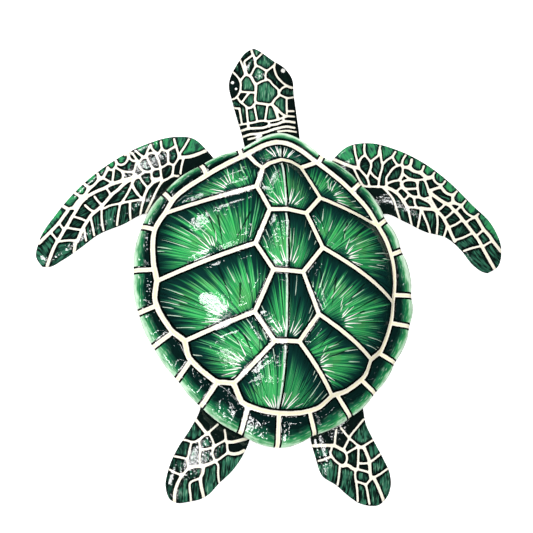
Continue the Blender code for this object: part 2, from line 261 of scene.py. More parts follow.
# Corners where the scutes' seams meet: the turtle's left and right, from the head to the tail.
FRONT_L, FRONT_R = (-29.7, 116), (30.7, 116)
V2_FRONT_L, V2_APEX, V2_FRONT_R = (-18.3, 105), (-1, 114.5), (17.1, 109.8)
V2_SIDE_L, V2_SIDE_R = (-25.5, 85.8), (32.1, 81)
V3_TOP_L, V3_TOP, V3_TOP_R = (-15.7, 63.9), (-1, 64.7), (17.1, 63.5)
V3_SIDE_L, V3_SIDE_R = (-28.9, 32.1), (31.2, 33.7)
V4_TOP_L, V4_TOP, V4_TOP_R = (-13.3, 9.9), (-1, 9.8), (13.2, 10)
V4_SIDE_L, V4_SIDE_R = (-28.9, -27.8), (27.6, -25.3)
V5_TOP_L, V5_TOP_R = (-11, -51.4), (10.6, -50.3)
C1_END_L, C1_END_R = (-101, 59.5), (91.3, 67.1)
C2_END_L, C2_END_R = (-106.5, -0.7), (106.8, -1.4)
C3_END_L, C3_END_R = (-82.1, -51.6), (83.6, -55.4)
C4_END_L, C4_END_R = (-40.9, -86.1), (47, -90.5)
COSTAL_ENDS = (C1_END_L, C1_END_R, C2_END_L, C2_END_R, C3_END_L, C3_END_R, C4_END_L, C4_END_R)
CORNER_DEGREES = 7.5
PAST_RIM = 6
FRONT_ARC = (V2_FRONT_L, (-12, 110.2), V2_APEX, (8, 113.8), V2_FRONT_R)
SEAMS = (
    (FRONT_L,) + FRONT_ARC + (FRONT_R,),
    (V2_FRONT_L, V2_SIDE_L, C1_END_L),
    (V2_FRONT_R, V2_SIDE_R, C1_END_R),
    (V2_SIDE_L, V3_TOP_L, V3_TOP, V3_TOP_R, V2_SIDE_R),
    (V3_TOP_L, V3_SIDE_L, C2_END_L),
    (V3_TOP_R, V3_SIDE_R, C2_END_R),
    (V3_SIDE_L, V4_TOP_L, V4_TOP, V4_TOP_R, V3_SIDE_R),
    (V4_TOP_L, V4_SIDE_L, C3_END_L),
    (V4_TOP_R, V4_SIDE_R, C3_END_R),
    (V4_SIDE_L, V5_TOP_L, V5_TOP_R, V4_SIDE_R),
    (V5_TOP_L, C4_END_L),
    (V5_TOP_R, C4_END_R),
)


def seam_radius(angle):
    """How far out the ring seam runs: drawn in to a corner where a costal seam meets it."""
    radius = ring_radius(angle)
    for x, y in COSTAL_ENDS:
        corner = math.degrees(math.atan2(x, y))
        pull = ring_radius(np.array([corner]))[0] - math.hypot(x, y)
        radius = radius - pull * np.clip(1 - np.abs(angle - corner) / CORNER_DEGREES, 0, 1)
    return radius


def seam_runs():
    """The seams inside the ring, the bars, and the ring, as three lists of straight runs."""
    inner = [pair for line in SEAMS for pair in zip(line, line[1:])]
    bars = [
        (plan_point(at_ring, ring), plan_point(at_rim, rim + PAST_RIM))
        for at_rim, at_ring, rim, ring in BARS[1:]
    ]
    stops = np.linspace(-180, 180, 181)
    ring = plan_point(stops, seam_radius(stops))
    return inner, bars, list(zip(ring, ring[1:]))


INNER_RUNS, BAR_RUNS, RING_RUNS = seam_runs()
ARC_STEP_DEGREES = 3


def ring_arc(start, end):
    """Points along the ring seam between two of its corners, the short way round."""
    first = math.degrees(math.atan2(*start))
    last = math.degrees(math.atan2(*end))
    if last - first > 180:
        last -= 360
    if first - last > 180:
        last += 360
    angles = np.linspace(first, last, max(2, int(abs(last - first) / ARC_STEP_DEGREES)))
    angles = (angles + 180) % 360 - 180
    return tuple(tuple(p) for p in plan_point(angles, seam_radius(angles)))


def closed(*corners):
    """A scute's outline: its corners, and back along the ring seam from the last to the first."""
    return corners + ring_arc(corners[-1], corners[0])


FRONT_END = (0, 131)
# Each scute: its outline, where its brush strokes start in the photograph, and how bright it is;
# the lower brightness of most scutes on the right-hand side is painted shade.
# First come the five on the middle of the back, from the head to the tail.
SCUTES = (
    (FRONT_ARC + (FRONT_R,) + ring_arc(FRONT_R, FRONT_END) + ring_arc(FRONT_END, FRONT_L)
     + (FRONT_L,), (281.0, 158.5), 0.35),
    (FRONT_ARC + (V2_SIDE_R, V3_TOP_R, V3_TOP, V3_TOP_L, V2_SIDE_L), (286.5, 207.0), 0.9),
    ((V3_TOP_L, V3_TOP, V3_TOP_R, V3_SIDE_R, V4_TOP_R, V4_TOP, V4_TOP_L, V3_SIDE_L),
     (288.0, 267.0), 1.0),
    ((V4_TOP_L, V4_TOP, V4_TOP_R, V4_SIDE_R, V5_TOP_R, V5_TOP_L, V4_SIDE_L), (287.0, 338.0), 0.85),
    (closed(C4_END_L, V5_TOP_L, V5_TOP_R, C4_END_R), (279.0, 411.0), 1.0),
    (closed(FRONT_L, V2_FRONT_L, V2_SIDE_L, C1_END_L), (229.0, 190.0), 0.65),
    (closed(FRONT_R, V2_FRONT_R, V2_SIDE_R, C1_END_R), (331.0, 196.5), 0.7),
    (closed(C1_END_L, V2_SIDE_L, V3_TOP_L, V3_SIDE_L, C2_END_L), (212.0, 253.5), 1.0),
    (closed(C1_END_R, V2_SIDE_R, V3_TOP_R, V3_SIDE_R, C2_END_R), (345.5, 258.0), 0.78),
    (closed(C2_END_L, V3_SIDE_L, V4_TOP_L, V4_SIDE_L, C3_END_L), (226.5, 318.0), 0.92),
    (closed(C2_END_R, V3_SIDE_R, V4_TOP_R, V4_SIDE_R, C3_END_R), (339.0, 323.5), 0.76),
    (closed(C3_END_L, V4_SIDE_L, V5_TOP_L, C4_END_L), (245.5, 367.0), 0.9),
    (closed(C3_END_R, V4_SIDE_R, V5_TOP_R, C4_END_R), (317.5, 366.5), 0.68),
)
# How bright the right half of each scute on the middle of the back is, beside its left half:
# painted shade, darker on the right of the keel.
SHADED_RIGHT_HALVES = (0.55, 0.55, 0.55, 0.35, 0.55)


def inside_outline(plan, outline):
    """Which points lie inside a closed outline."""
    outline = np.asarray(outline, float)
    inside = np.zeros(len(plan), bool)
    x, y = plan.T
    for (x1, y1), (x2, y2) in zip(outline, np.roll(outline, -1, 0)):
        crosses = (y1 > y) != (y2 > y)
        with np.errstate(divide="ignore", invalid="ignore"):
            inside ^= crosses & (x < (x2 - x1) * (y - y1) / (y2 - y1) + x1)
    return inside


def reach_along(plan, centre, outline):
    """How far each point is from the centre, as a share of the way to the outline."""
    outline = np.asarray(outline, float)
    ray = plan - centre
    far = np.full(len(plan), 0.01)
    for a, b in zip(outline, np.roll(outline, -1, 0)):
        side = b - a
        to_side = a - centre
        cross = ray[:, 0] * side[1] - ray[:, 1] * side[0]
        cross = np.where(np.abs(cross) < 1e-9, 1e-9, cross)
        along_ray = (to_side[0] * side[1] - to_side[1] * side[0]) / cross
        along_side = (to_side[0] * ray[:, 1] - to_side[1] * ray[:, 0]) / cross
        hit = (along_ray > 0) & (along_side >= -0.001) & (along_side <= 1.001)
        far = np.where(hit, np.maximum(far, along_ray), far)
    return 1 / far


def disk_grid(count):
    """A square grid squeezed on to the unit disk, evenly spread, and its boundary loop."""
    side = np.linspace(-1, 1, count + 1)
    a, b = np.meshgrid(side, side, indexing="ij")
    wide = np.abs(a) > np.abs(b)
    with np.errstate(divide="ignore", invalid="ignore"):
        turn = np.where(wide, np.pi / 4 * b / a, np.pi / 2 - np.pi / 4 * a / b)
    turn = np.where((a == 0) & (b == 0), 0, turn)
    radius = np.where(wide, a, b)
    x, y = radius * np.cos(turn), radius * np.sin(turn)
    index = np.arange((count + 1) ** 2).reshape(count + 1, count + 1)
    quads = np.stack([index[:-1, :-1], index[1:, :-1], index[1:, 1:], index[:-1, 1:]], -1)
    loop = np.concatenate([index[:-1, 0], index[-1, :-1], index[:0:-1, -1], index[0, :0:-1]])
    return np.stack([x.ravel(), y.ravel()], -1), quads.reshape(-1, 4), loop


def mesh_object(name, vertices, faces, material, node):
    """A piece of the turtle, from points in millimetres, standing for its node."""
    mesh = bpy.data.meshes.new(name)
    mesh.from_pydata((np.asarray(vertices) * MM).tolist(), [], faces)
    mesh.shade_smooth()
    mesh.materials.append(material)
    piece = bpy.data.objects.new(name, mesh)
    bpy.context.scene.collection.objects.link(piece)
    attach(piece, "root")
    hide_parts(node)
    return piece


def give(piece, **fields):
    """Numbers, or threes of numbers, at each vertex, for the paint to read by name."""
    for name, values in fields.items():
        values = np.asarray(values, np.float32)
        kind, field = ("FLOAT", "value") if values.ndim == 1 else ("FLOAT_VECTOR", "vector")
        data = piece.data.attributes.new(name, kind, "POINT").data
        data.foreach_set(field, values.ravel())


def nearest_on(point_in_photo, vertices):
    """The vertex that falls nearest to a point of the photograph."""
    return vertices[np.argmin(((to_photo(vertices) - point_in_photo) ** 2).sum(1))]


# ---- nodes for the paints ----


class Number:
    """An output of a node, to do sums with."""

    def __init__(self, paint, socket):
        self.paint = paint
        self.socket = socket

    def __add__(self, other):
        return self.paint.math("ADD", self, other)

    def __sub__(self, other):
        return self.paint.math("SUBTRACT", self, other)

    def __rsub__(self, other):
        return self.paint.math("SUBTRACT", other, self)

    def __mul__(self, other):
        return self.paint.math("MULTIPLY", self, other)

    def __truediv__(self, other):
        return self.paint.math("DIVIDE", self, other)

    __radd__ = __add__
    __rmul__ = __mul__


class Paint:
    """A material, and short names for the nodes that its colours are worked out with."""

    def __init__(self, name):
        self.material = bpy.data.materials.new(name)
        self.material.use_nodes = True
        self.tree = self.material.node_tree
        self.shader = self.tree.nodes["Principled BSDF"]

    def link(self, value, socket):
        if isinstance(value, Number):
            self.tree.links.new(value.socket, socket)
        elif isinstance(value, tuple):
            socket.default_value = (*value, 1.0)
        else:
            socket.default_value = value

    def node(self, kind, inputs=(), output=0, **settings):
        """The output of a new node; its inputs are in order, or by name or number."""
        made = self.tree.nodes.new(kind)
        for key, value in settings.items():
            setattr(made, key, value)
        inputs = inputs if isinstance(inputs, dict) else dict(enumerate(inputs))
        for socket, value in inputs.items():
            self.link(value, made.inputs[socket])
        return Number(self, made.outputs[output])

    def math(self, operation, *values):
        return self.node("ShaderNodeMath", values, operation=operation)

    def step(self, value, low, high):
        """0 below low, 1 above high, smooth between; low may be above high."""
        return self.node("ShaderNodeMapRange", (value, low, high), interpolation_type="SMOOTHSTEP")

    def read(self, name, output="Fac"):
        return self.node("ShaderNodeAttribute", output=output, attribute_name=name)

    def read_three(self, name):
        return self.split(self.read(name, "Vector"))

    def split(self, vector):
        parts = self.node("ShaderNodeSeparateXYZ", (vector,)).socket.node.outputs
        return [Number(self, part) for part in parts]

    def place(self):
        """Where the point is on the turtle, in millimetres."""
        inputs = {0: self.node("ShaderNodeTexCoord", output="Object"), "Scale": 1 / MM}
        return self.node("ShaderNodeVectorMath", inputs, operation="SCALE")

    def noise(self, vector, scale=1.0, detail=2.0, roughness=0.5):
        inputs = {"Vector": vector, "Scale": scale, "Detail": detail, "Roughness": roughness}
        return self.node("ShaderNodeTexNoise", inputs)

    def grain(self, x, y, z, detail=1.0, roughness=0.5):
        """Noise at three coordinates."""
        return self.noise(self.node("ShaderNodeCombineXYZ", (x, y, z)), 1.0, detail, roughness)

    def nearest_line(self, value):
        """Lines at uneven places along a number: the distance to the nearest, its two chances."""
        inputs = {"W": value, "Scale": 1.0, "Randomness": 0.85}
        gap = self.node("ShaderNodeTexVoronoi", inputs, "Distance", voronoi_dimensions="1D")
        first, second, _ = self.split(Number(self, gap.socket.node.outputs["Color"]))
        return gap, first, second

    def mix(self, share, first, second):
        return self.node("ShaderNodeMix", {0: share, 6: first, 7: second}, 2, data_type="RGBA")

    def over(self, colour, value, *layers):
        """A colour with each further one laid over it from where the value passes low to high."""
        for low, high, layer in layers:
            colour = self.mix(self.step(value, low, high), colour, layer)
        return colour

    def shade(self, inputs):
        """Gives the shader its inputs by name."""
        for name, value in inputs.items():
            self.link(value, self.shader.inputs[name])
        return self.material

    def varnish(self, colour, height, relief=0.00014, roughness=0.5, coat=1.0, coat_roughness=0.03):
        """Paint below a clear coat; the relief, in metres, is what a height of 1 stands for."""
        inputs = {"Strength": 1.0, "Distance": relief, "Height": height}
        bump = self.node("ShaderNodeBump", inputs)
        return self.shade({
            "Base Color": colour, "Roughness": roughness, "Specular IOR Level": 0.0,
            "Coat Weight": coat, "Coat Roughness": coat_roughness, "Coat IOR": 1.45,
            "Normal": bump, "Coat Normal": bump,
        })


def srgb(text):
    """A colour from its hexadecimal code, as linear numbers."""
    parts = [int(text[k : k + 2], 16) / 255 for k in (0, 2, 4)]
    return tuple(c / 12.92 if c <= 0.04045 else ((c + 0.055) / 1.055) ** 2.4 for c in parts)


CREAM, CREAM_CORE = srgb("FBF6E6"), srgb("F7EEC6")
WHITE, KEEL_HIGHLIGHT, EYE_HIGHLIGHT = srgb("FCFCF6"), srgb("E9F6EA"), srgb("F4F4EE")
BLACK, TEAL_BLACK, TEAL = srgb("020605"), srgb("071C1A"), srgb("0C312D")
DEEP_GREEN, GREEN, BRIGHT_GREEN = srgb("175A3F"), srgb("24844A"), srgb("41BD64")
PALE_GREEN, PALEST_GREEN, OLIVE = srgb("93D8A4"), srgb("DDF3DD"), srgb("7C9C3E")
FRONT_EDGE_GREEN = srgb("78C98A")
CELL_BLACK, CELL_DARK, CELL_SHINE = srgb("0B1715"), srgb("1B4033"), srgb("8FC09F")
LEAF, LEAF_MIDDLE, LEAF_DARK = srgb("3A9E60"), srgb("37735A"), srgb("173A30")
LEAF_EDGE, LEAF_SHINE = srgb("12302A"), srgb("A8D2B6")
HEAD_GREEN, HEAD_MIDDLE = srgb("40805F"), srgb("22503F")
LIMB_UNDERSIDE, PLASTRON_DARK, PLASTRON = srgb("0B1917"), srgb("0A1512"), srgb("14261F")


def around(paint, across, ahead):
    """The angle and the distance of what lies so far across and so far ahead."""
    distance = paint.math("SQRT", across * across + ahead * ahead)
    return paint.math("ARCTAN2", across, ahead), distance


def strokes(paint, fan, seed, per_radian, start, start_spread, length, half_width, chance,
            widening=False):
    """Thin brush strokes at uneven angles of a fan, as spindles or widening. 1 on a stroke."""
    angle, radius = fan
    gap, first, second = paint.nearest_line(angle * per_radian + seed)
    begin = first * start_spread + start
    along = (radius - begin) / ((second * 0.8 + 0.6) * length)
    there = paint.step(along, 0.0, 0.06) * paint.step(along, 1.0, 0.9)
    present = paint.step(paint.math("FRACT", first * 7.3 + second * 3.1), 1 - chance, 1.02 - chance)
    spindle = paint.math("MINIMUM", along * 4.0 + 0.15, 1.1 - along)
    width = (along + 0.15 if widening else spindle) * half_width
    return paint.step(gap / per_radian * radius, width, width * 0.45) * there * present


def cream_lines(paint, colour, gap, place, border=1.9, wobble=0.5):
    """Cream seams where gap is under 0, with a black edge, over a colour."""
    waver = (paint.noise(place, 0.16, 1.0) - 0.5) * wobble
    ragged = (paint.noise(place, 0.9, 2.0) - 0.5) * 0.35
    gap = gap + waver + ragged
    cream = paint.over(CREAM, gap + paint.noise(place, 0.35, 2.0) * 1.2, (0.1, -1.2, CREAM_CORE))
    edge = gap + paint.noise(place, 0.12, 1.0) * 0.8
    colour = paint.over(colour, edge, (border + 0.35, border, BLACK))
    return paint.over(colour, gap, (0.12, -0.12, cream))


def varnish_height(paint, place, gap):
    """The peel of the varnish, and the cream lines a little raised."""
    return paint.noise(place, 0.42, 1.0) + paint.step(gap, 0.4, -0.4) * 0.12


def shell_paint():
    """Scutes brushed in bright green fans out of dark teal, marginals shaded to a pale edge."""
    paint = Paint("shell_paint")
    place = paint.place()
    x, y, _ = paint.split(place)
    cell, gap, reach, gain = (paint.read(name) for name in ("cell", "gap", "reach", "gain"))
    seed = cell * 91.0
    root_x, root_y, _ = paint.read_three("root")
    side_x, side_y, inward = paint.read_three("side")

    # The fan: angle and distance from a place behind the one where the strokes of a scute start.
    # Towards the middle of the back the strokes run nearly side by side.
    off_x, off_y = x - root_x, y - root_y
    across = off_x * side_x + off_y * side_y
    forward = off_y * side_x - off_x * side_y
    spread = forward + paint.math("MAXIMUM", across * inward, 0.0) * 0.9
    fan = angle, radius = around(paint, across, spread + 30.0)
    near_fan = _, near = around(paint, across, forward + 4.0)

    bristles = paint.step(paint.grain(angle * 72.0, radius * 0.004, seed, 2.0, 0.6), 0.3, 0.7)
    tufts = paint.grain(angle * 21.0, radius * 0.01, seed + 7.0)
    broad = paint.grain(angle * 6.5, radius * 0.012, seed + 17.0)
    # Each scute's tone, lowered on the right-hand side as painted shade, sets how far and how
    # bright its fan reaches.
    limit = gain * 0.22 + 0.45 + (tufts - 0.5) * 0.35 + (bristles - 0.5) * 0.22
    lit = paint.step(reach - (limit + (broad - 0.5) * 0.3), 0.3, -0.22)
    lit = lit * paint.step(gap + (bristles - 0.5) * 2.4, 0.2, 4.0)
    glow = lit * (bristles * 0.68 + 0.32) * (0.4 + gain * 0.6)
    outward = paint.step(across * inward * -1.0, 4.0, 34.0)
    shadow = outward * (paint.step(x, -5.0, 5.0) * 0.26 + 0.34)
    root_dark = paint.step(near + (bristles - 0.5) * 5.0, 13.5, 4.5) * 0.75
    glow = glow * (1.0 - shadow) * (1.0 - root_dark)
    colour = paint.over(TEAL, reach + bristles * 0.15, (0.75, 1.1, TEAL_BLACK))
    colour = paint.over(
        colour, glow, (0.04, 0.3, DEEP_GREEN), (0.2, 0.52, GREEN), (0.45, 0.85, BRIGHT_GREEN)
    )
    strands = paint.grain(angle * 180.0, radius * 0.035, seed + 3.0)
    light_strands = paint.step(strands, 0.55, 0.68) * paint.step(glow, 0.12, 0.5)
    colour = paint.mix(light_strands * 0.5, colour, PALE_GREEN)
    colour = paint.mix(paint.step(strands, 0.45, 0.3) * 0.5, colour, TEAL)
    olive = paint.step(paint.noise(place, 0.05, 2.0), 0.52, 0.68)
    colour = paint.mix(olive * paint.step(glow, 0.1, 0.5) * 0.12, colour, OLIVE)

    # Dark strokes drawn in from the far edge, thin pale strokes, and the whiskers at the root.
    tight = around(paint, across, spread + 11.0)
    dark = strokes(
        paint, tight, seed, per_radian=5.5, start=15.0, start_spread=14.0,
        length=50.0, half_width=0.85, chance=0.85, widening=True,
    )
    colour = paint.mix(dark * 0.9, colour, TEAL_BLACK)
    pale = strokes(
        paint, fan, seed + 31.0, per_radian=18.0, start=47.0, start_spread=26.0,
        length=20.0, half_width=0.5, chance=0.55,
    )
    colour = paint.mix(pale * paint.step(reach, 0.98, 0.9) * 0.75, colour, PALEST_GREEN)
    whiskers = strokes(
        paint, near_fan, seed + 57.0, per_radian=5.2, start=6.5, start_spread=4.0,
        length=13.0, half_width=0.75, chance=0.95,
    )
    ahead = paint.step(forward - paint.math("ABSOLUTE", across) * 0.25, 0.2, 1.2)
    colour = paint.mix(whiskers * ahead, colour, WHITE)

    # Down the middle of the back, a broken white line, a painted highlight along the keel's left
    # slope, and the black line beside it.
    on_back = paint.read("middle")
    from_keel_highlight = paint.math("ABSOLUTE", x + 1.9)
    white = paint.step(from_keel_highlight, 1.15, 0.6) * on_back
    white = white * paint.step(paint.noise(place, 0.16, 3.0, 0.6), 0.3, 0.5)
    colour = paint.mix(white * 0.75, colour, KEEL_HIGHLIGHT)
    from_black = paint.math("ABSOLUTE", x + 0.3 + (paint.noise(place, 0.05, 1.0) - 0.5) * 1.5)
    colour = paint.mix(paint.step(from_black, 1.1, 0.75) * on_back, colour, BLACK)

    # Marginal scutes: dark next to the ring seam, green further out, pale at the very edge.
    brim, round_it = paint.read("brim"), paint.read("round")
    streak = paint.grain(round_it * 0.09, brim * 7.0, 3.0, 3.0, 0.6) - 0.5
    cloud = paint.noise(place, 0.07, 1.0) - 0.5
    outer = brim + streak * 0.36 + cloud * 0.26 + paint.read("pale") - 0.09
    pale_there = paint.over(PALE_GREEN, x * 0.8 - y, (40.0, 110.0, FRONT_EDGE_GREEN))
    edge = paint.over(TEAL_BLACK, outer, (0.38, 0.66, DEEP_GREEN), (0.52, 0.82, GREEN))
    edge = paint.mix(paint.step(outer, 0.68, 0.98) * 0.85, edge, pale_there)
    edge = paint.mix(paint.step(outer, 0.78, 0.98) * 0.9, edge, PALEST_GREEN)
    fine = paint.grain(round_it * 0.13, brim * 17.0, 8.0)
    pale_hairs = paint.step(fine, 0.56, 0.66) * paint.step(outer, 0.4, 0.8)
    edge = paint.mix(pale_hairs * 0.3, edge, PALEST_GREEN)
    edge = paint.mix(paint.step(fine, 0.43, 0.33) * 0.3, edge, TEAL)
    colour = paint.over(colour, paint.read("marginal"), (0.45, 0.55, edge))

    colour = cream_lines(paint, colour, gap, place)
    colour = paint.over(colour, paint.read("under"), (0.3, 0.7, TEAL_BLACK))

    lumps = paint.noise(place, 0.13, 1.0)
    height = varnish_height(paint, place, gap) + lumps * 2.4 + bristles * lit * 0.12
    # Beside the seams of the right-hand side the varnish is thin: no second cream line shows in it.
    on_right = paint.step(x + paint.math("MAXIMUM", y - 80.0, 0.0), 25.0, 45.0)
    thin = paint.step(gap, 7.5, 4.5) * paint.step(gap, 0.2, 0.8) * on_right
    return paint.varnish(colour, height, coat=1.0 - thin * 0.85)


SHELL_GRID = 270
LINE_HALF_WIDTHS = (1.7, 1.8, 1.85)
WALL_SHARES = np.linspace(0.2, 1, 5)
UNDERSIDE_RINGS = (0.97, 0.94, 0.9, 0.85, 0.79, 0.72, 0.64, 0.5, 0.25)
NO_GAP = 9.0


def shell_skin(top, quads, loop):
    """The closed skin's vertices and faces: the top, the thin rim and the underside."""
    rim = top[loop]
    drop = shell_underside(rim[:, :2]) - rim[:, 2]
    rings = []
    for share in WALL_SHARES:
        # Down the rim's wall it swells a little, then draws in.
        out = 1 + 0.004 * math.sin(math.pi * share) - 0.006 * share**3
        rings.append(np.column_stack([rim[:, :2] * out, rim[:, 2] + drop * share]))
    for shrink in UNDERSIDE_RINGS:
        inner = rim[:, :2] * shrink
        rings.append(np.column_stack([inner, shell_underside(inner)]))
    vertices = np.concatenate([top, *rings, [[0, 0, UNDERSIDE_HEIGHT]]])
    faces, ring = quads.tolist(), loop
    for number in range(len(rings)):
        after = len(top) + number * len(loop) + np.arange(len(loop))
        faces += np.stack([ring, after, np.roll(after, -1), np.roll(ring, -1)], -1).tolist()
        ring = after
    centre = len(vertices) - 1
    faces += [(int(a), centre, int(b)) for a, b in zip(ring, np.roll(ring, -1))]
    return vertices, faces


def make_shell(material):
    """The shell, with what its paint reads at each vertex."""
    unit, quads, loop = disk_grid(SHELL_GRID)
    angle, share = polar(unit)
    plan = plan_point(angle, share * rim_radius(angle))
    groups = (INNER_RUNS, BAR_RUNS, RING_RUNS)
    runs = np.concatenate([np.reshape(group, (-1, 2, 2)) for group in groups])
    line_gap = run_distance(plan, runs, np.repeat(LINE_HALF_WIDTHS, [len(g) for g in groups]))
    rise = smoothstep((run_distance(plan, runs) - SEAM_HALF_WIDTH) / SCUTE_SHOULDER)
    top = np.column_stack([plan, dome_height(plan) + SCUTE_RISE * rise])
    vertices, faces = shell_skin(top, quads, loop)
    shell = mesh_object("painted_shell", vertices, faces, material, "shell")

    total = len(vertices)
    wall = slice(len(top), len(top) + len(WALL_SHARES) * len(loop))
    angle, radius = polar(vertices[:, :2])
    ring_at, rim_at = seam_radius(angle), rim_radius(angle)
    marginal = radius > ring_at
    root, side = np.zeros((total, 3)), np.tile((1.0, 0.0, 0.0), (total, 1))
    cell, reach = np.zeros(total), np.ones(total)
    gain, middle = np.zeros(total), np.zeros(total)
    for number, (outline, begin, bright) in enumerate(SCUTES):
        chosen = np.flatnonzero(inside_outline(plan, outline) & ~marginal[: len(top)])
        start = nearest_on(begin, top)[:2]
        gain[chosen] = bright
        if number < len(SHADED_RIGHT_HALVES):
            heart, inward = np.array((0.0, 1.0)), 0.0
            gain[chosen[plan[chosen, 0] > -0.3]] *= SHADED_RIGHT_HALVES[number]
            middle[chosen] = 1.0
        else:
            heart, inward = np.mean(outline, axis=0) - start, -np.sign(start[0])
            heart /= np.linalg.norm(heart)
        root[chosen, :2] = start
        side[chosen] = (heart[1], -heart[0], inward)
        reach[chosen] = reach_along(plan[chosen], start - heart * 0.5, outline)
        cell[chosen] = (number * 0.377 + 0.11) % 1

    brim = np.clip((radius - ring_at) / (rim_at - ring_at), 0, 1)
    brim[wall] += np.repeat(WALL_SHARES, len(loop)) * 0.2
    # The marginal scutes are paler in front, at the sides and most of all at the right shoulder.
    nuchal = 0.2 * smoothstep((24 - np.abs(angle)) / 8)
    turn = np.sin(np.radians(angle))
    sides = np.where(turn > 0, 0.09, 0.04) * np.abs(turn)
    right_front = 0.2 * smoothstep((angle - 38) / 10) * smoothstep((88 - angle) / 12)
    pale = nuchal + sides + right_front - 0.03 * (np.abs(angle) > 115)
    under = np.arange(total) >= wall.stop
    gap = np.full(total, NO_GAP)
    gap[: len(top)] = line_gap
    gap[wall] = np.tile(line_gap[loop], len(WALL_SHARES))
    give(shell, root=root, side=side, reach=reach, cell=cell, gain=gain, middle=middle)
    give(shell, marginal=marginal, brim=brim, round=np.radians(angle) * 120, pale=pale)
    give(shell, under=under, gap=gap)


# ---- the limbs' and the head's shapes, as in their solids ----

NECK_CORNER, SHOULDER_CORNER = (32, 96), (80, 50)
HIP_CORNER, TAIL_CORNER = (80, -48), (30, -94)
FIT_GAP = 0.3
# Heights and half thicknesses from root to tip, then points along and round.
FRONT_FORM = ((7.8, 10.5, 9.5, 3.6), (4.6, 5.4, 4.6, 3.6), 225, 116)
HIND_FORM = ((7.8, 9.5, 8.0, 3.4), (4.8, 5.0, 4.4, 3.4), 150, 110)
LIMB_FULLNESS, LIMB_FLATNESS, LIMB_END_ROUND = 2.6, 0.17, 0.08

# Each flipper's edges: how far along the belly plate's side it starts, then points to the tip.
FRONT_LEFT_LEADING = (
    0.12, (-47, 107), (-60.5, 123.8), (-74, 134), (-92, 133.5), (-116.6, 124), (-145.8, 105),
    (-171, 81.8), (-191.2, 55.5), (-205, 30), (-206.5, 16), (-201, 8.5),
)
FRONT_LEFT_TRAILING = (
    0.93, (-96, 60), (-113, 62), (-134.4, 49.9), (-155.3, 39), (-170.2, 26.2), (-185, 14.5),
    (-194, 9), (-201, 8.5),
)
FRONT_RIGHT_LEADING = (
    0.12, (46, 112), (57, 131), (70, 143), (90, 147.8), (116, 144), (143, 133.8), (165.5, 119.8),
    (188, 101), (210, 82), (219, 61), (215, 44), (206, 38),
)
FRONT_RIGHT_TRAILING = (
    0.93, (90, 72), (104, 82.5), (124, 76.8), (142, 69.8), (164.5, 65.8), (178, 56.8), (191, 44),
    (199, 39.5), (206, 38),
)
HIND_LEFT_OUTER = (
    0.3, (-61, -90), (-63, -105), (-71, -122), (-82, -140), (-89, -158), (-90.5, -172),
    (-86, -182), (-79, -184.5), (-70, -182.5),
)
HIND_LEFT_INNER = (
    0.97, (-23, -110), (-19, -126), (-24.2, -141), (-34, -156), (-45.2, -167.3), (-54, -177),
    (-60, -180.5), (-70, -182.5),
)
HIND_RIGHT_OUTER = (
    0.08, (80, -80), (83, -97), (85, -108), (92, -122), (101, -137), (108, -151), (109, -161),
    (105, -172), (98, -178), (90, -178.5),
)
HIND_RIGHT_INNER = (
    0.9, (35, -108), (35, -123), (40, -141.3), (46, -155.8), (59, -163), (70, -171),
    (80, -176.5), (90, -178.5),
)
HEAD_LEFT = (
    (-24, 96.3), (-27, 125), (-31, 140), (-36, 155), (-41, 171), (-44, 184), (-42, 195),
    (-36, 208), (-29.8, 217.2), (-22.5, 222),
)
HEAD_RIGHT = (
    (24, 96.3), (22.5, 125), (20.5, 147), (18, 162), (15, 180), (11.8, 196), (5.4, 204.8),
    (-4.2, 209.4), (-14.4, 216), (-22.5, 222),
)
HEAD_TOPS = (14.6, 22.6, 29.4, 31.5, 33.5, 34.5, 32.0, 24.0)
HEAD_UNDERSIDES = (2.0, 2.0, 2.0, 2.4, 2.0, 2.0, 3.0, 8.0)
HEAD_FULLNESS, HEAD_FLATNESS, HEAD_END_ROUND = 2.2, 0.55, 0.1
HEAD_STATIONS, HEAD_AROUND = 190, 160
HEAD_MIDDLE_POINT = np.array([-15.0, 190.0, 18.0])
EYE_CENTRES = ((-42.0, 189.0, 22.0), (12.5, 196.0, 22.0))
EYE_BULGE = 1.0
EYE_REACH = 9.0
# The lower lids, where the photograph doesn't show the eyes.
EYE_LIDS = (
    ((-35.0, 200.0, 12.0), (-42.5, 196.0, 12.0), (-45.0, 186.0, 12.0), (-42.0, 177.0, 12.5)),
    ((6.0, 205.5, 13.0), (11.0, 199.0, 12.0), (14.5, 190.0, 12.0), (16.0, 183.0, 13.0)),
)
LID_HALF_WIDTH = 1.2
# How many points an edge, and a section, is measured with.
EDGE_POINTS, SECTION_POINTS = 1500, 4001


def along_edge(points, shares):
    """The edge through the points, smoothed, at shares of the way from root to tip."""
    points = np.array(points, float)
    lengths = walked(points)
    fine = eased(lengths, points)(np.linspace(0, lengths[-1], EDGE_POINTS))
    lengths = walked(fine)
    return np.column_stack([np.interp(shares * lengths[-1], lengths, fine[:, k]) for k in (0, 1)])


def section(count, fullness, flatness):
    """A rounded box section, its points evenly spread round a section so many times flatter."""
    turn = np.linspace(0, 2 * np.pi, SECTION_POINTS)
    sides = np.column_stack([np.cos(turn), np.sin(turn)])
    across, up = (np.sign(sides) * np.abs(sides) ** (2 / fullness)).T
    lengths = walked(np.column_stack([across, up * flatness]))
    wanted = np.linspace(0, lengths[-1], count, endpoint=False)
    return np.interp(wanted, lengths, across), np.interp(wanted, lengths, up)


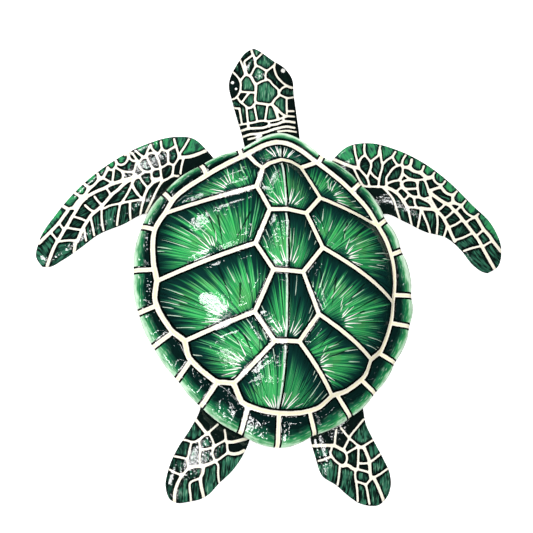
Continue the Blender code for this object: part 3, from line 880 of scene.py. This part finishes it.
def loft(edges, tops, undersides, fullness, flatness, end_round, stations, count):
    """A body between two edges in plan: its grid of points from a flat root, and its tip."""
    tip = stations // 6
    share = np.concatenate([
        np.linspace(0, 1 - end_round, stations - tip, endpoint=False),
        1 - end_round + end_round * np.sin(np.linspace(0, np.pi / 2, tip)),
    ])
    first, second = (along_edge(edge, share) for edge in edges)
    closing = np.clip((share - (1 - end_round)) / end_round, 0, 1)
    high, low = (
        eased(np.linspace(0, 1, len(heights)), heights)(share) for heights in (tops, undersides)
    )
    centre, half = (high + low) / 2, (high - low) / 2 * np.sqrt(1 - closing**2)
    across, up = section(count, fullness, flatness)
    middle, reach = (first + second) / 2, (second - first) / 2
    grid = np.empty((stations - 1, count, 3))
    grid[..., :2] = middle[:-1, None] + across[None, :, None] * reach[:-1, None]
    grid[..., 2] = centre[:-1, None] + half[:-1, None] * up
    return grid, np.array((*first[-1], centre[-1]))


def plate_side(start, end, share, side):
    """A point just off the belly plate's slanted side; side is -1 for the turtle's left."""
    start, end = np.array(start, float), np.array(end, float)
    along = (end - start) / np.linalg.norm(end - start)
    out = np.array([-along[1], along[0]])
    x, y = start + (end - start) * share + out * FIT_GAP
    return float(x * side), float(y)


def bulge_eyes(vertices):
    """Swells the head round each eye, away from the head's middle line."""
    for eye in EYE_CENTRES:
        reach = np.linalg.norm(vertices - eye, axis=-1)
        out = vertices - HEAD_MIDDLE_POINT
        out /= np.linalg.norm(out, axis=-1)[..., None]
        vertices = vertices + out * (EYE_BULGE * np.exp(-((reach / EYE_REACH) ** 2)))[..., None]
    return vertices


# The cream lines read from enlargements of the photograph. Each drawing has its corner and
# its scale, thin and thick lines as x, y, x, y..., and points in cells that are painted green or
# left nearly black.
FRONT_LEFT_ART = {
    "corner": (20, 120),
    "scale": 7.84,
    "thick": (
        (212, 1145, 235, 1080, 262, 1010, 290, 955, 310, 925, 345, 865, 375, 820, 405, 765, 440,
         710, 470, 660, 500, 625, 520, 605, 560, 580, 610, 555, 660, 535, 705, 510, 760, 490, 820,
         470, 870, 455, 905, 435),
        (425, 1035, 440, 960, 450, 945, 475, 890, 495, 845, 520, 805, 560, 745, 600, 710, 630, 685,
         655, 660, 690, 620, 720, 585, 770, 545, 830, 490, 880, 460),
        (1455, 242, 1400, 265, 1330, 287, 1248, 293),
        (342, 680, 375, 700, 345, 750, 310, 800, 240, 875, 150, 965),
    ),
    "thin": (
        (1325, 150, 1290, 210, 1255, 265, 1248, 290), (1208, 148, 1225, 210, 1240, 262, 1248, 290),
        (1222, 205, 1185, 225, 1150, 243, 1120, 232, 1108, 205, 1105, 168),
        (1108, 230, 1080, 262, 1060, 250, 1035, 225, 1025, 195), (1025, 195, 1000, 240, 985, 285),
        (905, 240, 945, 275, 980, 295), (850, 272, 862, 300, 885, 320, 920, 318),
        (752, 318, 765, 342, 790, 352, 820, 342, 840, 318, 848, 290, 845, 270),
        (690, 372, 705, 390, 728, 388, 748, 365, 755, 340, 750, 318),
        (610, 420, 628, 448, 650, 448, 670, 420, 682, 390, 685, 372),
        (503, 500, 530, 522, 562, 520, 590, 500, 610, 470, 612, 440, 605, 420),
        (432, 572, 465, 592, 500, 588, 522, 560, 530, 530, 515, 508, 500, 500),
        (342, 675, 372, 695, 408, 690, 440, 650, 470, 605, 455, 590, 432, 575),
        (430, 690, 465, 640, 500, 605), (305, 805, 345, 862), (240, 880, 290, 940),
        (400, 690, 440, 700), (490, 605, 520, 615),
        (500, 605, 530, 560, 575, 515, 615, 475, 650, 455), (290, 955, 360, 945, 450, 945),
        (375, 845, 430, 855, 480, 862), (430, 760, 480, 775, 525, 795),
        (510, 668, 545, 700, 580, 720), (585, 602, 610, 635, 640, 665),
        (680, 540, 695, 560, 712, 592), (900, 450, 870, 520, 835, 590, 795, 650),
        (635, 690, 650, 693, 700, 672, 780, 655, 850, 640, 960, 622),
        (880, 520, 920, 580, 965, 620), (640, 690, 640, 760, 645, 820, 655, 865),
        (785, 660, 770, 740, 760, 825), (862, 650, 862, 720, 868, 790),
        (1010, 525, 980, 580, 965, 640, 950, 700, 942, 755),
        (1115, 480, 1075, 545, 1030, 640, 985, 735), (1010, 525, 1050, 490, 1110, 465),
        (555, 770, 570, 840, 582, 905), (505, 860, 510, 900, 518, 945),
        (735, 395, 730, 440, 722, 495), (650, 455, 690, 475, 722, 495),
        (690, 385, 665, 425, 650, 455), (800, 405, 808, 440, 800, 470),
        (722, 495, 770, 485, 820, 468),
        (755, 375, 800, 400, 850, 408, 890, 405, 910, 345, 925, 325),
        (890, 400, 895, 430, 905, 445), (925, 330, 940, 375, 975, 405),
        (905, 445, 945, 430, 975, 405), (975, 405, 1010, 408, 1045, 385),
        (1000, 300, 1020, 345, 1045, 385), (1065, 265, 1085, 310, 1100, 370),
        (1045, 385, 1075, 385, 1100, 378), (1160, 250, 1160, 300, 1165, 340),
        (1100, 375, 1130, 362, 1165, 342, 1205, 352, 1230, 320, 1248, 293),
        (1205, 352, 1200, 395, 1190, 440), (1100, 375, 1105, 420, 1115, 480),
        (1115, 480, 1160, 460, 1190, 440, 1240, 440),
        (1045, 385, 1030, 420, 1040, 455, 1075, 460, 1105, 450), (940, 450, 965, 490, 1000, 530),
        (1030, 455, 1040, 480, 1010, 525), (880, 500, 900, 545, 925, 580),
        (1000, 530, 985, 570, 968, 612), (880, 490, 910, 455, 940, 450),
        (1280, 310, 1265, 370, 1258, 420), (820, 275, 860, 250, 920, 318),
        (985, 285, 1020, 260, 1060, 262), (940, 325, 960, 300, 990, 290),
    ),
    "green": (
        (1370, 200), (1255, 190), (1160, 190), (1065, 215), (960, 235), (890, 270), (800, 300),
        (720, 355), (640, 405), (560, 460), (480, 540), (400, 620), (280, 770),
    ),
    "black": (
        (1390, 330), (1230, 380), (1150, 540), (1060, 600),
    ),
}
FRONT_RIGHT_ART = {
    "corner": (330, 120),
    "scale": 8.253,
    "thick": (
        (1370, 1250, 1330, 1180, 1285, 1100, 1255, 1045, 1225, 990, 1180, 930, 1140, 880, 1100, 830,
         1060, 780, 1020, 740, 985, 705, 930, 675, 880, 640, 840, 610, 820, 590),
        (1030, 1000, 1000, 940, 980, 890, 955, 845, 930, 800, 890, 760, 860, 740, 800, 735, 750,
         728),
        (30, 325, 80, 345, 140, 370, 190, 388, 235, 395),
        (1205, 800, 1235, 850, 1265, 900, 1310, 950, 1345, 1000, 1375, 1040, 1412, 1085),
        (465, 555, 520, 580, 560, 610, 600, 660, 635, 715),
    ),
    "thin": (
        (750, 728, 700, 722, 650, 720), (200, 212, 210, 280, 225, 340, 235, 395),
        (285, 200, 283, 250, 290, 290), (235, 395, 240, 350, 265, 305, 290, 290),
        (290, 290, 335, 345), (415, 215, 405, 260, 400, 290, 365, 320, 338, 345),
        (540, 262, 515, 300, 470, 330, 435, 360, 420, 300, 415, 250),
        (625, 290, 600, 330, 590, 365, 565, 375, 540, 350, 515, 305),
        (675, 325, 670, 360, 640, 385, 600, 385, 590, 370),
        (775, 380, 757, 420, 725, 428, 690, 415, 665, 385, 672, 330),
        (862, 435, 845, 460, 810, 470, 780, 455, 757, 430),
        (950, 505, 930, 530, 895, 530, 865, 505, 850, 470),
        (1048, 588, 1015, 615, 975, 610, 940, 590, 918, 550),
        (1120, 665, 1085, 700, 1055, 695, 1025, 670, 1015, 640, 1030, 610),
        (1225, 775, 1195, 800, 1150, 785, 1110, 750, 1085, 710),
        (1260, 1045, 1300, 1020, 1345, 995), (1205, 960, 1240, 930, 1265, 905),
        (1120, 850, 1150, 825, 1205, 800), (1040, 750, 1065, 725, 1090, 705),
        (985, 690, 1030, 690, 1060, 695), (1105, 1080, 1180, 1055, 1250, 1040),
        (1035, 990, 1100, 970, 1170, 935), (985, 885, 1040, 860, 1085, 830),
        (950, 810, 985, 785, 1020, 750), (890, 745, 925, 720, 950, 690),
        (830, 650, 860, 700, 885, 745), (965, 880, 955, 920, 940, 965),
        (880, 770, 888, 830, 885, 900, 880, 945), (755, 740, 780, 800, 805, 860, 825, 930),
        (750, 745, 740, 810, 722, 895), (640, 720, 655, 780, 670, 850, 680, 890),
        (440, 560, 480, 600, 520, 650, 545, 720, 560, 770, 578, 825),
        (255, 540, 300, 548, 360, 550, 430, 552, 465, 555),
        (338, 345, 340, 380, 325, 430, 310, 470),
        (435, 360, 430, 400, 415, 450, 405, 500, 400, 550),
        (560, 375, 520, 400, 490, 440, 465, 480, 465, 520, 465, 555),
        (470, 525, 520, 505, 575, 492, 600, 460), (600, 375, 600, 420, 590, 460, 575, 490),
        (235, 395, 265, 430, 300, 470, 320, 520, 325, 548),
        (190, 390, 215, 440, 245, 500, 275, 545), (335, 430, 365, 465, 400, 490),
        (600, 385, 650, 400, 690, 425, 740, 440, 780, 470),
        (600, 440, 650, 480, 700, 495, 780, 490),
        (575, 490, 590, 520, 600, 550, 570, 570, 545, 595),
        (585, 530, 610, 505, 660, 495, 700, 500, 725, 520),
        (590, 545, 620, 565, 680, 568, 720, 565), (722, 500, 722, 545, 728, 590, 735, 630),
        (600, 560, 640, 600, 680, 630, 735, 635), (600, 670, 635, 640, 650, 620),
        (650, 620, 690, 640, 700, 690, 720, 725), (690, 640, 730, 635, 780, 660, 820, 680),
        (780, 495, 800, 540, 815, 590, 830, 640, 815, 670), (820, 580, 860, 570, 905, 555),
        (780, 490, 830, 480, 850, 465), (830, 590, 870, 565, 920, 560, 960, 600, 1010, 625),
        (985, 690, 1005, 680, 1010, 640), (820, 680, 840, 710, 870, 750),
        (735, 635, 770, 650, 815, 640),
    ),
    "green": (
        (130, 290), (240, 250), (345, 260), (475, 270), (575, 300), (640, 330), (720, 370),
        (810, 420), (905, 480), (985, 550), (1070, 630), (1150, 730), (1310, 900),
    ),
    "black": ((140, 420),),
}
HIND_LEFT_ART = {
    "corner": (150, 400),
    "scale": 13.067,
    "thick": (
        (1005, 550, 1080, 550, 1160, 530, 1260, 505), (1020, 690, 1090, 705, 1160, 695, 1230, 660),
        (430, 970, 390, 1030, 350, 1120, 325, 1200, 320, 1330),
        (500, 890, 580, 870, 660, 865, 750, 845, 850, 800),
        (700, 870, 690, 950, 660, 1020, 670, 1130, 690, 1220, 705, 1290),
        (580, 240, 640, 310, 700, 390, 745, 440),
    ),
    "thin": (
        (885, 320, 820, 375, 760, 430),
        (745, 450, 700, 470, 640, 520, 560, 550, 490, 530, 425, 515),
        (770, 440, 810, 510, 840, 590, 850, 610), (975, 390, 985, 450, 990, 520),
        (850, 600, 910, 565, 985, 525), (990, 520, 1005, 560, 1010, 620, 1020, 680),
        (1020, 690, 960, 730, 900, 775, 850, 800), (830, 630, 815, 690, 835, 760, 850, 800),
        (660, 650, 740, 640, 820, 620),
        (640, 520, 650, 590, 660, 650, 650, 720, 650, 800, 660, 860),
        (540, 560, 520, 640, 505, 720, 490, 770, 490, 830, 500, 890, 470, 930, 430, 970),
        (320, 735, 400, 750, 480, 770), (255, 910, 320, 945, 400, 975, 430, 975),
        (850, 800, 890, 850, 890, 940, 895, 1020, 910, 1100),
        (655, 1025, 590, 1045, 525, 1080, 520, 1170, 530, 1250, 535, 1320),
    ),
    "bright": (
        (1054, 877), (793, 1045), (420, 1195), (569, 410),
    ),
    "black": (
        (740, 250), (1080, 480), (1120, 620),
    ),
}
HIND_RIGHT_ART = {
    "corner": (295, 400),
    "scale": 13.635,
    "thick": (
        (940, 650, 980, 740, 1010, 820, 1020, 900, 1025, 1000, 1035, 1060),
        (650, 900, 720, 890, 780, 930, 830, 955), (1075, 1060, 1120, 1150, 1170, 1270, 1210, 1380),
        (250, 625, 350, 620, 450, 620, 540, 625, 620, 665, 670, 690),
    ),
    "thin": (
        (940, 262, 915, 290, 850, 370, 790, 440, 740, 510),
        (625, 380, 680, 450, 740, 520, 800, 570, 860, 620, 900, 640),
        (740, 525, 700, 600, 660, 680), (1100, 520, 1050, 555, 980, 600, 920, 640),
        (565, 410, 550, 500, 540, 600, 535, 625), (500, 660, 485, 720, 500, 770),
        (320, 830, 400, 810, 490, 770), (500, 770, 560, 840, 640, 895),
        (670, 690, 700, 740, 710, 800, 690, 860, 650, 900), (700, 730, 780, 680, 850, 640),
        (865, 650, 865, 740, 860, 850, 855, 930), (880, 865, 930, 865, 1000, 860),
        (1200, 708, 1155, 745, 1090, 800, 1035, 840), (855, 945, 920, 960, 1000, 985),
        (825, 960, 820, 1040, 835, 1130, 850, 1250, 855, 1380),
        (610, 900, 605, 980, 595, 1070, 580, 1160), (835, 1110, 900, 1130, 965, 1155),
        (1050, 1060, 1000, 1120, 965, 1160), (965, 1160, 985, 1240, 1000, 1330, 1015, 1415),
        (1300, 912, 1250, 945, 1160, 1010, 1070, 1060), (890, 650, 940, 650, 950, 660),
    ),
    "bright": (
        (458, 974), (711, 1110), (1159, 896), (1042, 682), (915, 1266), (1237, 1130), (905, 448),
    ),
    "black": (
        (800, 330), (380, 530), (930, 910),
    ),
}
HEAD_ART = {
    "corner": (200, 30),
    "widths": (0.75, 0.95),
    "lids": EYE_LIDS,
    "scale": 12.06,
    "thick": (
        (620, 245, 640, 300, 665, 350, 665, 400, 675, 430),
        (675, 665, 672, 760, 672, 870, 760, 890, 860, 895, 900, 840, 950, 785, 950, 740),
        (865, 895, 920, 945, 975, 1000, 1035, 1040),
        (500, 1215, 580, 1190, 680, 1185, 780, 1175, 840, 1150, 930, 1135, 1010, 1105, 1080, 1105,
         1140, 1115),
        (515, 1290, 600, 1260, 700, 1250, 800, 1230, 880, 1200, 960, 1180, 1040, 1165, 1140, 1180),
    ),
    "thin": (
        (800, 235, 745, 285, 705, 325, 670, 355),
        (625, 310, 580, 345, 535, 385, 545, 430, 555, 490, 570, 540),
        (450, 300, 485, 365, 520, 450, 545, 540),
        (370, 485, 410, 520, 440, 550, 470, 590, 490, 640, 490, 700, 480, 750, 450, 800, 420, 825,
         380, 840, 340, 845),
        (490, 610, 520, 570, 545, 545, 600, 555, 620, 580, 650, 640, 672, 670),
        (675, 430, 650, 470, 625, 520, 600, 555),
        (675, 430, 720, 445, 770, 475, 805, 490, 850, 460, 890, 430),
        (805, 490, 790, 540, 795, 600), (625, 570, 650, 620, 680, 648, 740, 620, 795, 605),
        (935, 330, 905, 400, 895, 450, 905, 500, 930, 560, 970, 610, 1030, 660, 1090, 690, 1150,
         700),
        (795, 590, 840, 610, 880, 660, 925, 700, 955, 735),
        (960, 740, 1000, 695, 1045, 680, 1095, 695, 1150, 700),
        (955, 780, 1000, 800, 1050, 820, 1110, 815, 1170, 805), (1045, 825, 1045, 920, 1048, 1010),
        (1060, 980, 1130, 978), (500, 745, 570, 750, 650, 755), (590, 760, 550, 810, 515, 860),
        (455, 820, 485, 865, 530, 900, 575, 940), (575, 940, 600, 940, 650, 905, 672, 880),
        (410, 940, 470, 950), (475, 945, 490, 1040, 505, 1130), (560, 940, 570, 1040, 585, 1180),
        (650, 900, 670, 990, 690, 1100), (815, 900, 800, 990, 785, 1090),
        (870, 900, 910, 980, 940, 1075), (930, 950, 935, 1020, 945, 1075),
        (480, 1145, 560, 1130, 650, 1115, 740, 1095, 830, 1100, 900, 1090, 980, 1065, 1050, 1040,
         1135, 1045),
        (583, 1130, 585, 1190), (830, 1110, 835, 1165), (1005, 1060, 1010, 1105),
        (580, 1320, 660, 1300, 740, 1275), (940, 1225, 1040, 1215, 1160, 1230),
    ),
    "green": (
        (700, 560), (800, 750), (730, 990), (865, 1030), (680, 270), (780, 380), (580, 660),
        (600, 850), (960, 880), (630, 1020),
    ),
    "black": (
        (1000, 560), (420, 700), (700, 1360), (1100, 1290),
    ),
    # Painted highlights on the eyes, as white dots: x, y and radius in the drawing's pixels.
    "dots": ((1002, 490, 25), (392, 635, 18), (435, 710, 14)),
}


def placed(art, points):
    """Points of a drawing in the photograph's pixels."""
    return np.reshape(points, (-1, 2)) / art["scale"] + art["corner"]


def drawn(art, flat):
    """A line of a drawing as a smooth curve in the photograph's pixels."""
    points = placed(art, flat)
    if len(points) == 2:
        return points
    lengths = walked(points)
    wanted = np.interp(np.arange(3 * len(points) - 2) / 3, np.arange(len(points)), lengths)
    return eased(lengths, points)(wanted)


LINE_BLEND = 0.35


def art_gap(art, at):
    """The distance in millimetres from each place in the photograph to the cream of a drawing."""
    gaps = []
    for kind, half_width in zip(("thin", "thick"), art.get("widths", (0.85, 1.3))):
        for line in art[kind]:
            curve = drawn(art, line)
            gaps.append(run_distance(at, list(zip(curve, curve[1:]))) * MM_PER_PIXEL - half_width)
    near = np.exp(-np.clip(gaps, -5, 40) / LINE_BLEND)
    return -LINE_BLEND * np.log(near.sum(0) + 1e-30)


# A cell's inside is this far from the lines; it then grows over them by so many steps.
OPEN_GAP, GROWTH = 0.05, 30


def cells_of(gap, hidden):
    """Numbers for the cells between the lines, on a grid that joins up the second way round."""
    number = np.arange(gap.size, dtype=float).reshape(gap.shape)
    open_here = (gap > OPEN_GAP) & ~hidden
    number[~open_here] = np.inf
    ways = [(axis, step) for axis in (0, 1) for step in (1, -1)]
    while True:
        before = number.copy()
        for axis, step in ways:
            near = np.roll(number, step, axis)
            if axis == 0:
                near[0 if step > 0 else -1] = np.inf
            number = np.where(open_here, np.minimum(number, near), np.inf)
        if (number == before).all():
            break
    for _ in range(GROWTH):
        for axis, step in ways:
            number = np.where(np.isinf(number), np.roll(number, step, axis), number)
    return np.where(np.isinf(number), 0, number)


# How bright the marked cells are painted, and the middle and the swing of all others.
TONES = {"green": 1.0, "bright": 0.8, "black": 0.12}
OTHER_TONE, TONE_SWING = 0.62, 0.2
# The drawing counts where a surface faces the camera; undersides begin where it looks down.
FACING = 0.06
DOWNWARD, DOWNWARD_BLEND = 0.35, 0.3


def make_body(name, grid, tip, art, material):
    """A limb or the head from its grid of points, with the drawing laid on it from above."""
    stations, count = grid.shape[:2]
    vertices = np.concatenate([grid.reshape(-1, 3), tip[None]])
    index = np.arange(stations * count).reshape(stations, count)
    after = np.roll(index, -1, 1)
    faces = np.stack([index[:-1], after[:-1], after[1:], index[1:]], -1).reshape(-1, 4).tolist()
    faces.append(index[0, ::-1].tolist())
    faces += [(int(a), int(b), len(vertices) - 1) for a, b in zip(index[-1], after[-1])]
    piece = mesh_object("painted_" + name, vertices, faces, material, name)
    shape = bmesh.new()
    shape.from_mesh(piece.data)
    bmesh.ops.recalc_face_normals(shape, faces=shape.faces)
    shape.to_mesh(piece.data)
    shape.free()
    normals = np.empty(len(vertices) * 3)
    piece.data.vertex_normals.foreach_get("vector", normals)
    normals = normals.reshape(-1, 3)
    seen = normals @ BACK > FACING
    under = smoothstep((-DOWNWARD - normals[:, 2]) / DOWNWARD_BLEND)

    at = to_photo(vertices)
    gap = art_gap(art, at)
    for lid in art.get("lids", ()):
        gap = np.minimum(gap, run_distance(vertices, list(zip(lid, lid[1:]))) - LID_HALF_WIDTH)
    dot = np.full(len(vertices), NO_GAP)
    for x, y, radius in art.get("dots", ()):
        away = np.linalg.norm(at - placed(art, (x, y)), axis=1) - radius / art["scale"]
        dot = np.minimum(dot, np.where(seen, away * MM_PER_PIXEL, NO_GAP))

    # The last vertex, the tip, is in no cell.
    cell = cells_of(gap[:-1].reshape(stations, count), ~seen[:-1].reshape(stations, count)).ravel()
    tone = OTHER_TONE + TONE_SWING * np.sin(cell * 12.9898)
    for kind, value in TONES.items():
        for spot in placed(art, art.get(kind, ())):
            away = ((at[:-1] - spot) ** 2).sum(1) + np.where(seen[:-1], 0, 1e6)
            tone[cell == cell[np.argmin(away)]] = value
    along = walked(grid.mean(1))
    over = np.linalg.norm(grid - grid[:, :1], axis=2).ravel()
    give(piece, gap=gap, under=under, dot=dot, tone=np.append(tone, tone[-1]))
    give(piece, cell=np.append(np.sin(cell * 78.233) * 0.5 + 0.5, 0), over=np.append(over, 0))
    give(piece, along=np.append(np.repeat(along, count), along[-1]))


def limb_paint(name, green, middle, upright=False, eyes=False):
    """Small dark cells brushed with green between cream lines."""
    paint = Paint(name)
    place = paint.place()
    gap, tone, cell = paint.read("gap"), paint.read("tone"), paint.read("cell")
    seed = cell * 57.0
    if upright:
        over, along, _ = paint.split(place)
        streak = paint.grain(over * 0.62, along * 0.1, seed, 2.0, 0.6)
    else:
        along, over = paint.read("along"), paint.read("over")
        lengthwise = paint.grain(over * 0.62, along * 0.1, seed, 2.0, 0.6)
        crosswise = paint.grain(along * 0.62, over * 0.1, seed, 2.0, 0.6)
        turned = paint.step(paint.math("FRACT", cell * 7.31), 0.49, 0.51)
        streak = lengthwise + (crosswise - lengthwise) * turned
    streak = paint.step(streak, 0.3, 0.7)
    patch = paint.step(paint.noise(place, 0.13, 1.0), 0.3, 0.7)
    brushed = gap + (streak - 0.5) * 1.6
    value = tone * (streak * 1.3 + patch * 0.5 - 0.1) * paint.step(brushed, 0.8, 3.4)
    colour = paint.over(CELL_BLACK, value, (0.1, 0.45, CELL_DARK), (0.4, 0.95, middle))
    leaf = paint.over(middle, streak + patch * 0.6, (0.3, 1.2, green))
    leaf = paint.mix(paint.step(streak + patch * 0.7, 0.6, 0.15) * 0.85, leaf, LEAF_DARK)
    leaf = paint.over(LEAF_EDGE, brushed, (0.9, 3.0, leaf))
    if upright:
        thin = paint.grain(over * 1.5, along * 0.12, seed + 5.0)
        shine = paint.step(thin, 0.58, 0.68) * paint.step(value, 0.3, 0.9) * 0.7
        leaf = paint.mix(shine, leaf, LEAF_SHINE)
        colour = paint.mix(shine, colour, CELL_SHINE)
    colour = paint.over(colour, tone, (0.85, 0.95, leaf))
    colour = cream_lines(paint, colour, gap, place, border=1.25, wobble=0.3)
    if eyes:
        # The white dots on the eyes are painted highlights.
        colour = paint.over(colour, paint.read("dot"), (0.2, -0.1, EYE_HIGHLIGHT))
    colour = paint.mix(paint.read("under"), colour, LIMB_UNDERSIDE)
    return paint.varnish(colour, varnish_height(paint, place, gap) + streak * 0.1)


def make_limb(name, edges, side, joint, form, art, material):
    """A flipper: a thin blade with rounded edges."""
    rooted = [[plate_side(*joint, share, side), *points] for share, *points in edges]
    heights, halves, stations, count = form
    tops, undersides = np.add(heights, halves), np.subtract(heights, halves)
    grid, tip = loft(
        rooted, tops, undersides, LIMB_FULLNESS, LIMB_FLATNESS, LIMB_END_ROUND, stations, count
    )
    make_body(name, grid, tip, art, material)


def make_limbs():
    """The four flippers and the head."""
    shoulder, hip = (NECK_CORNER, SHOULDER_CORNER), (HIP_CORNER, TAIL_CORNER)
    left, right = "front_flipper_left", "front_flipper_right"
    paint = limb_paint("front_flipper_paint", LEAF, LEAF_MIDDLE)
    edges = (FRONT_LEFT_LEADING, FRONT_LEFT_TRAILING)
    make_limb(left, edges, -1, shoulder, FRONT_FORM, FRONT_LEFT_ART, paint)
    edges = (FRONT_RIGHT_LEADING, FRONT_RIGHT_TRAILING)
    make_limb(right, edges, 1, shoulder, FRONT_FORM, FRONT_RIGHT_ART, paint)
    paint = limb_paint("hind_flipper_paint", LEAF, LEAF_MIDDLE, upright=True)
    left, right = "hind_flipper_left", "hind_flipper_right"
    edges = (HIND_LEFT_OUTER, HIND_LEFT_INNER)
    make_limb(left, edges, -1, hip, HIND_FORM, HIND_LEFT_ART, paint)
    edges = (HIND_RIGHT_OUTER, HIND_RIGHT_INNER)
    make_limb(right, edges, 1, hip, HIND_FORM, HIND_RIGHT_ART, paint)

    grid, tip = loft(
        (HEAD_LEFT, HEAD_RIGHT), HEAD_TOPS, HEAD_UNDERSIDES,
        HEAD_FULLNESS, HEAD_FLATNESS, HEAD_END_ROUND, HEAD_STATIONS, HEAD_AROUND,
    )
    paint = limb_paint("head_paint", HEAD_GREEN, HEAD_MIDDLE, upright=True, eyes=True)
    make_body("head", bulge_eyes(grid), bulge_eyes(tip), HEAD_ART, paint)


def paint_plastron():
    """The belly plate keeps its solid's shape, in plain dark satin paint with a brushed grain."""
    paint = Paint("plastron_paint")
    grain = paint.noise(paint.place(), 0.2, 3.0, 0.6)
    colour = paint.mix(grain, PLASTRON_DARK, PLASTRON)
    material = paint.varnish(colour, grain, 0.0001, 0.45, coat=0.0, coat_roughness=0.3)
    for piece in bpy.data.objects:
        if piece.type == "MESH" and "plastron" in piece.name:
            piece.data.materials.clear()
            piece.data.materials.append(material)


make_shell(shell_paint())
make_limbs()
paint_plastron()

# ---- studio ----

FLOOR_SIZE, FLOOR_HEIGHT = 40, -0.0003
LAMPS_AIM = Vector((-0.01, 0.02, 0.03))
# Each lamp: the direction that it stands in, how far off, its two sides and its power. The first
# side runs along X. All in metres and watts.
LAMPS = {
    "left": ((-0.4, -0.12, 0.91), 1.3, (0.42, 0.26), 9.6),
    "tail": ((-0.27, -0.54, 0.8), 1.3, (0.6, 0.11), 4.4),
    "back": ((-0.42, 0.68, 0.6), 1.3, (0.2, 0.18), 2.6),
    "crown": ((-0.16, 0.86, 0.49), 1.3, (0.13, 0.3), 2.6),
    "head": ((0.1, 0.45, 0.89), 1.3, (0.16, 0.07), 1.1),
    "over": ((0.115, -0.11, 0.98), 1.3, (0.13, 0.11), 1.6),
    "top": ((0.055, -0.02, 1.0), 1.3, (0.1, 0.1), 1.1),
    "low": ((-0.05, -0.32, 0.94), 1.3, (0.2, 0.05), 0.8),
    "right": ((0.34, 0.12, 0.93), 1.3, (0.1, 0.1), 1.0),
    "fill": ((0.7, -0.3, 0.65), 1.6, (1.0, 1.0), 1.4),
}


def stand(name, data, axes, spot):
    """A camera or a lamp at a spot, turned to its axes."""
    thing = bpy.data.objects.new(name, data)
    turn = Matrix(axes).transposed().to_4x4()
    thing.matrix_world = Matrix.Translation(Vector(spot)) @ turn
    bpy.context.scene.collection.objects.link(thing)
    return thing


def make_camera():
    """The camera that the photograph was taken from."""
    data = bpy.data.cameras.new("camera")
    data.sensor_width = 36.0
    data.lens = FOCAL_PIXELS * data.sensor_width / PHOTO_SIZE
    data.clip_start, data.clip_end = 0.05, 20.0
    spot = (CAMERA_TARGET + BACK * CAMERA_DISTANCE) * MM
    bpy.context.scene.camera = stand("camera", data, (RIGHT, UP, BACK), spot)


def softbox(name, direction, distance, size, power):
    """A soft lamp that looks at the turtle from a direction."""
    data = bpy.data.lights.new(name, "AREA")
    data.shape = "RECTANGLE"
    data.size, data.size_y = size
    data.energy = power
    away = Vector(direction).normalized()
    across = (Vector((1, 0, 0)) - away * away.x).normalized()
    return stand(name, data, (across, away.cross(across), away), LAMPS_AIM + away * distance)


def make_studio():
    """A white floor, a faint white world and the lamps. Only the lamps show in the varnish."""
    bpy.ops.mesh.primitive_plane_add(size=FLOOR_SIZE, location=(0, 0, FLOOR_HEIGHT))
    floor = bpy.context.object
    floor.name = "floor"
    floor.data.materials.append(Paint("floor_white").shade({
        "Base Color": (0.93, 0.93, 0.93), "Roughness": 0.9, "Specular IOR Level": 0.1,
        "Emission Color": (1.0, 1.0, 1.0), "Emission Strength": 0.8,
    }))
    floor.visible_glossy = False

    world = bpy.data.worlds.new("studio")
    bpy.context.scene.world = world
    world.use_nodes = True
    background = world.node_tree.nodes["Background"].inputs
    background["Color"].default_value = (1, 1, 1, 1)
    background["Strength"].default_value = 0.08
    world.cycles_visibility.glossy = False

    for name, lamp in LAMPS.items():
        softbox("lamp_" + name, *lamp).visible_glossy = name != "fill"
    bpy.context.scene.view_settings.view_transform = "Standard"


make_camera()
make_studio()
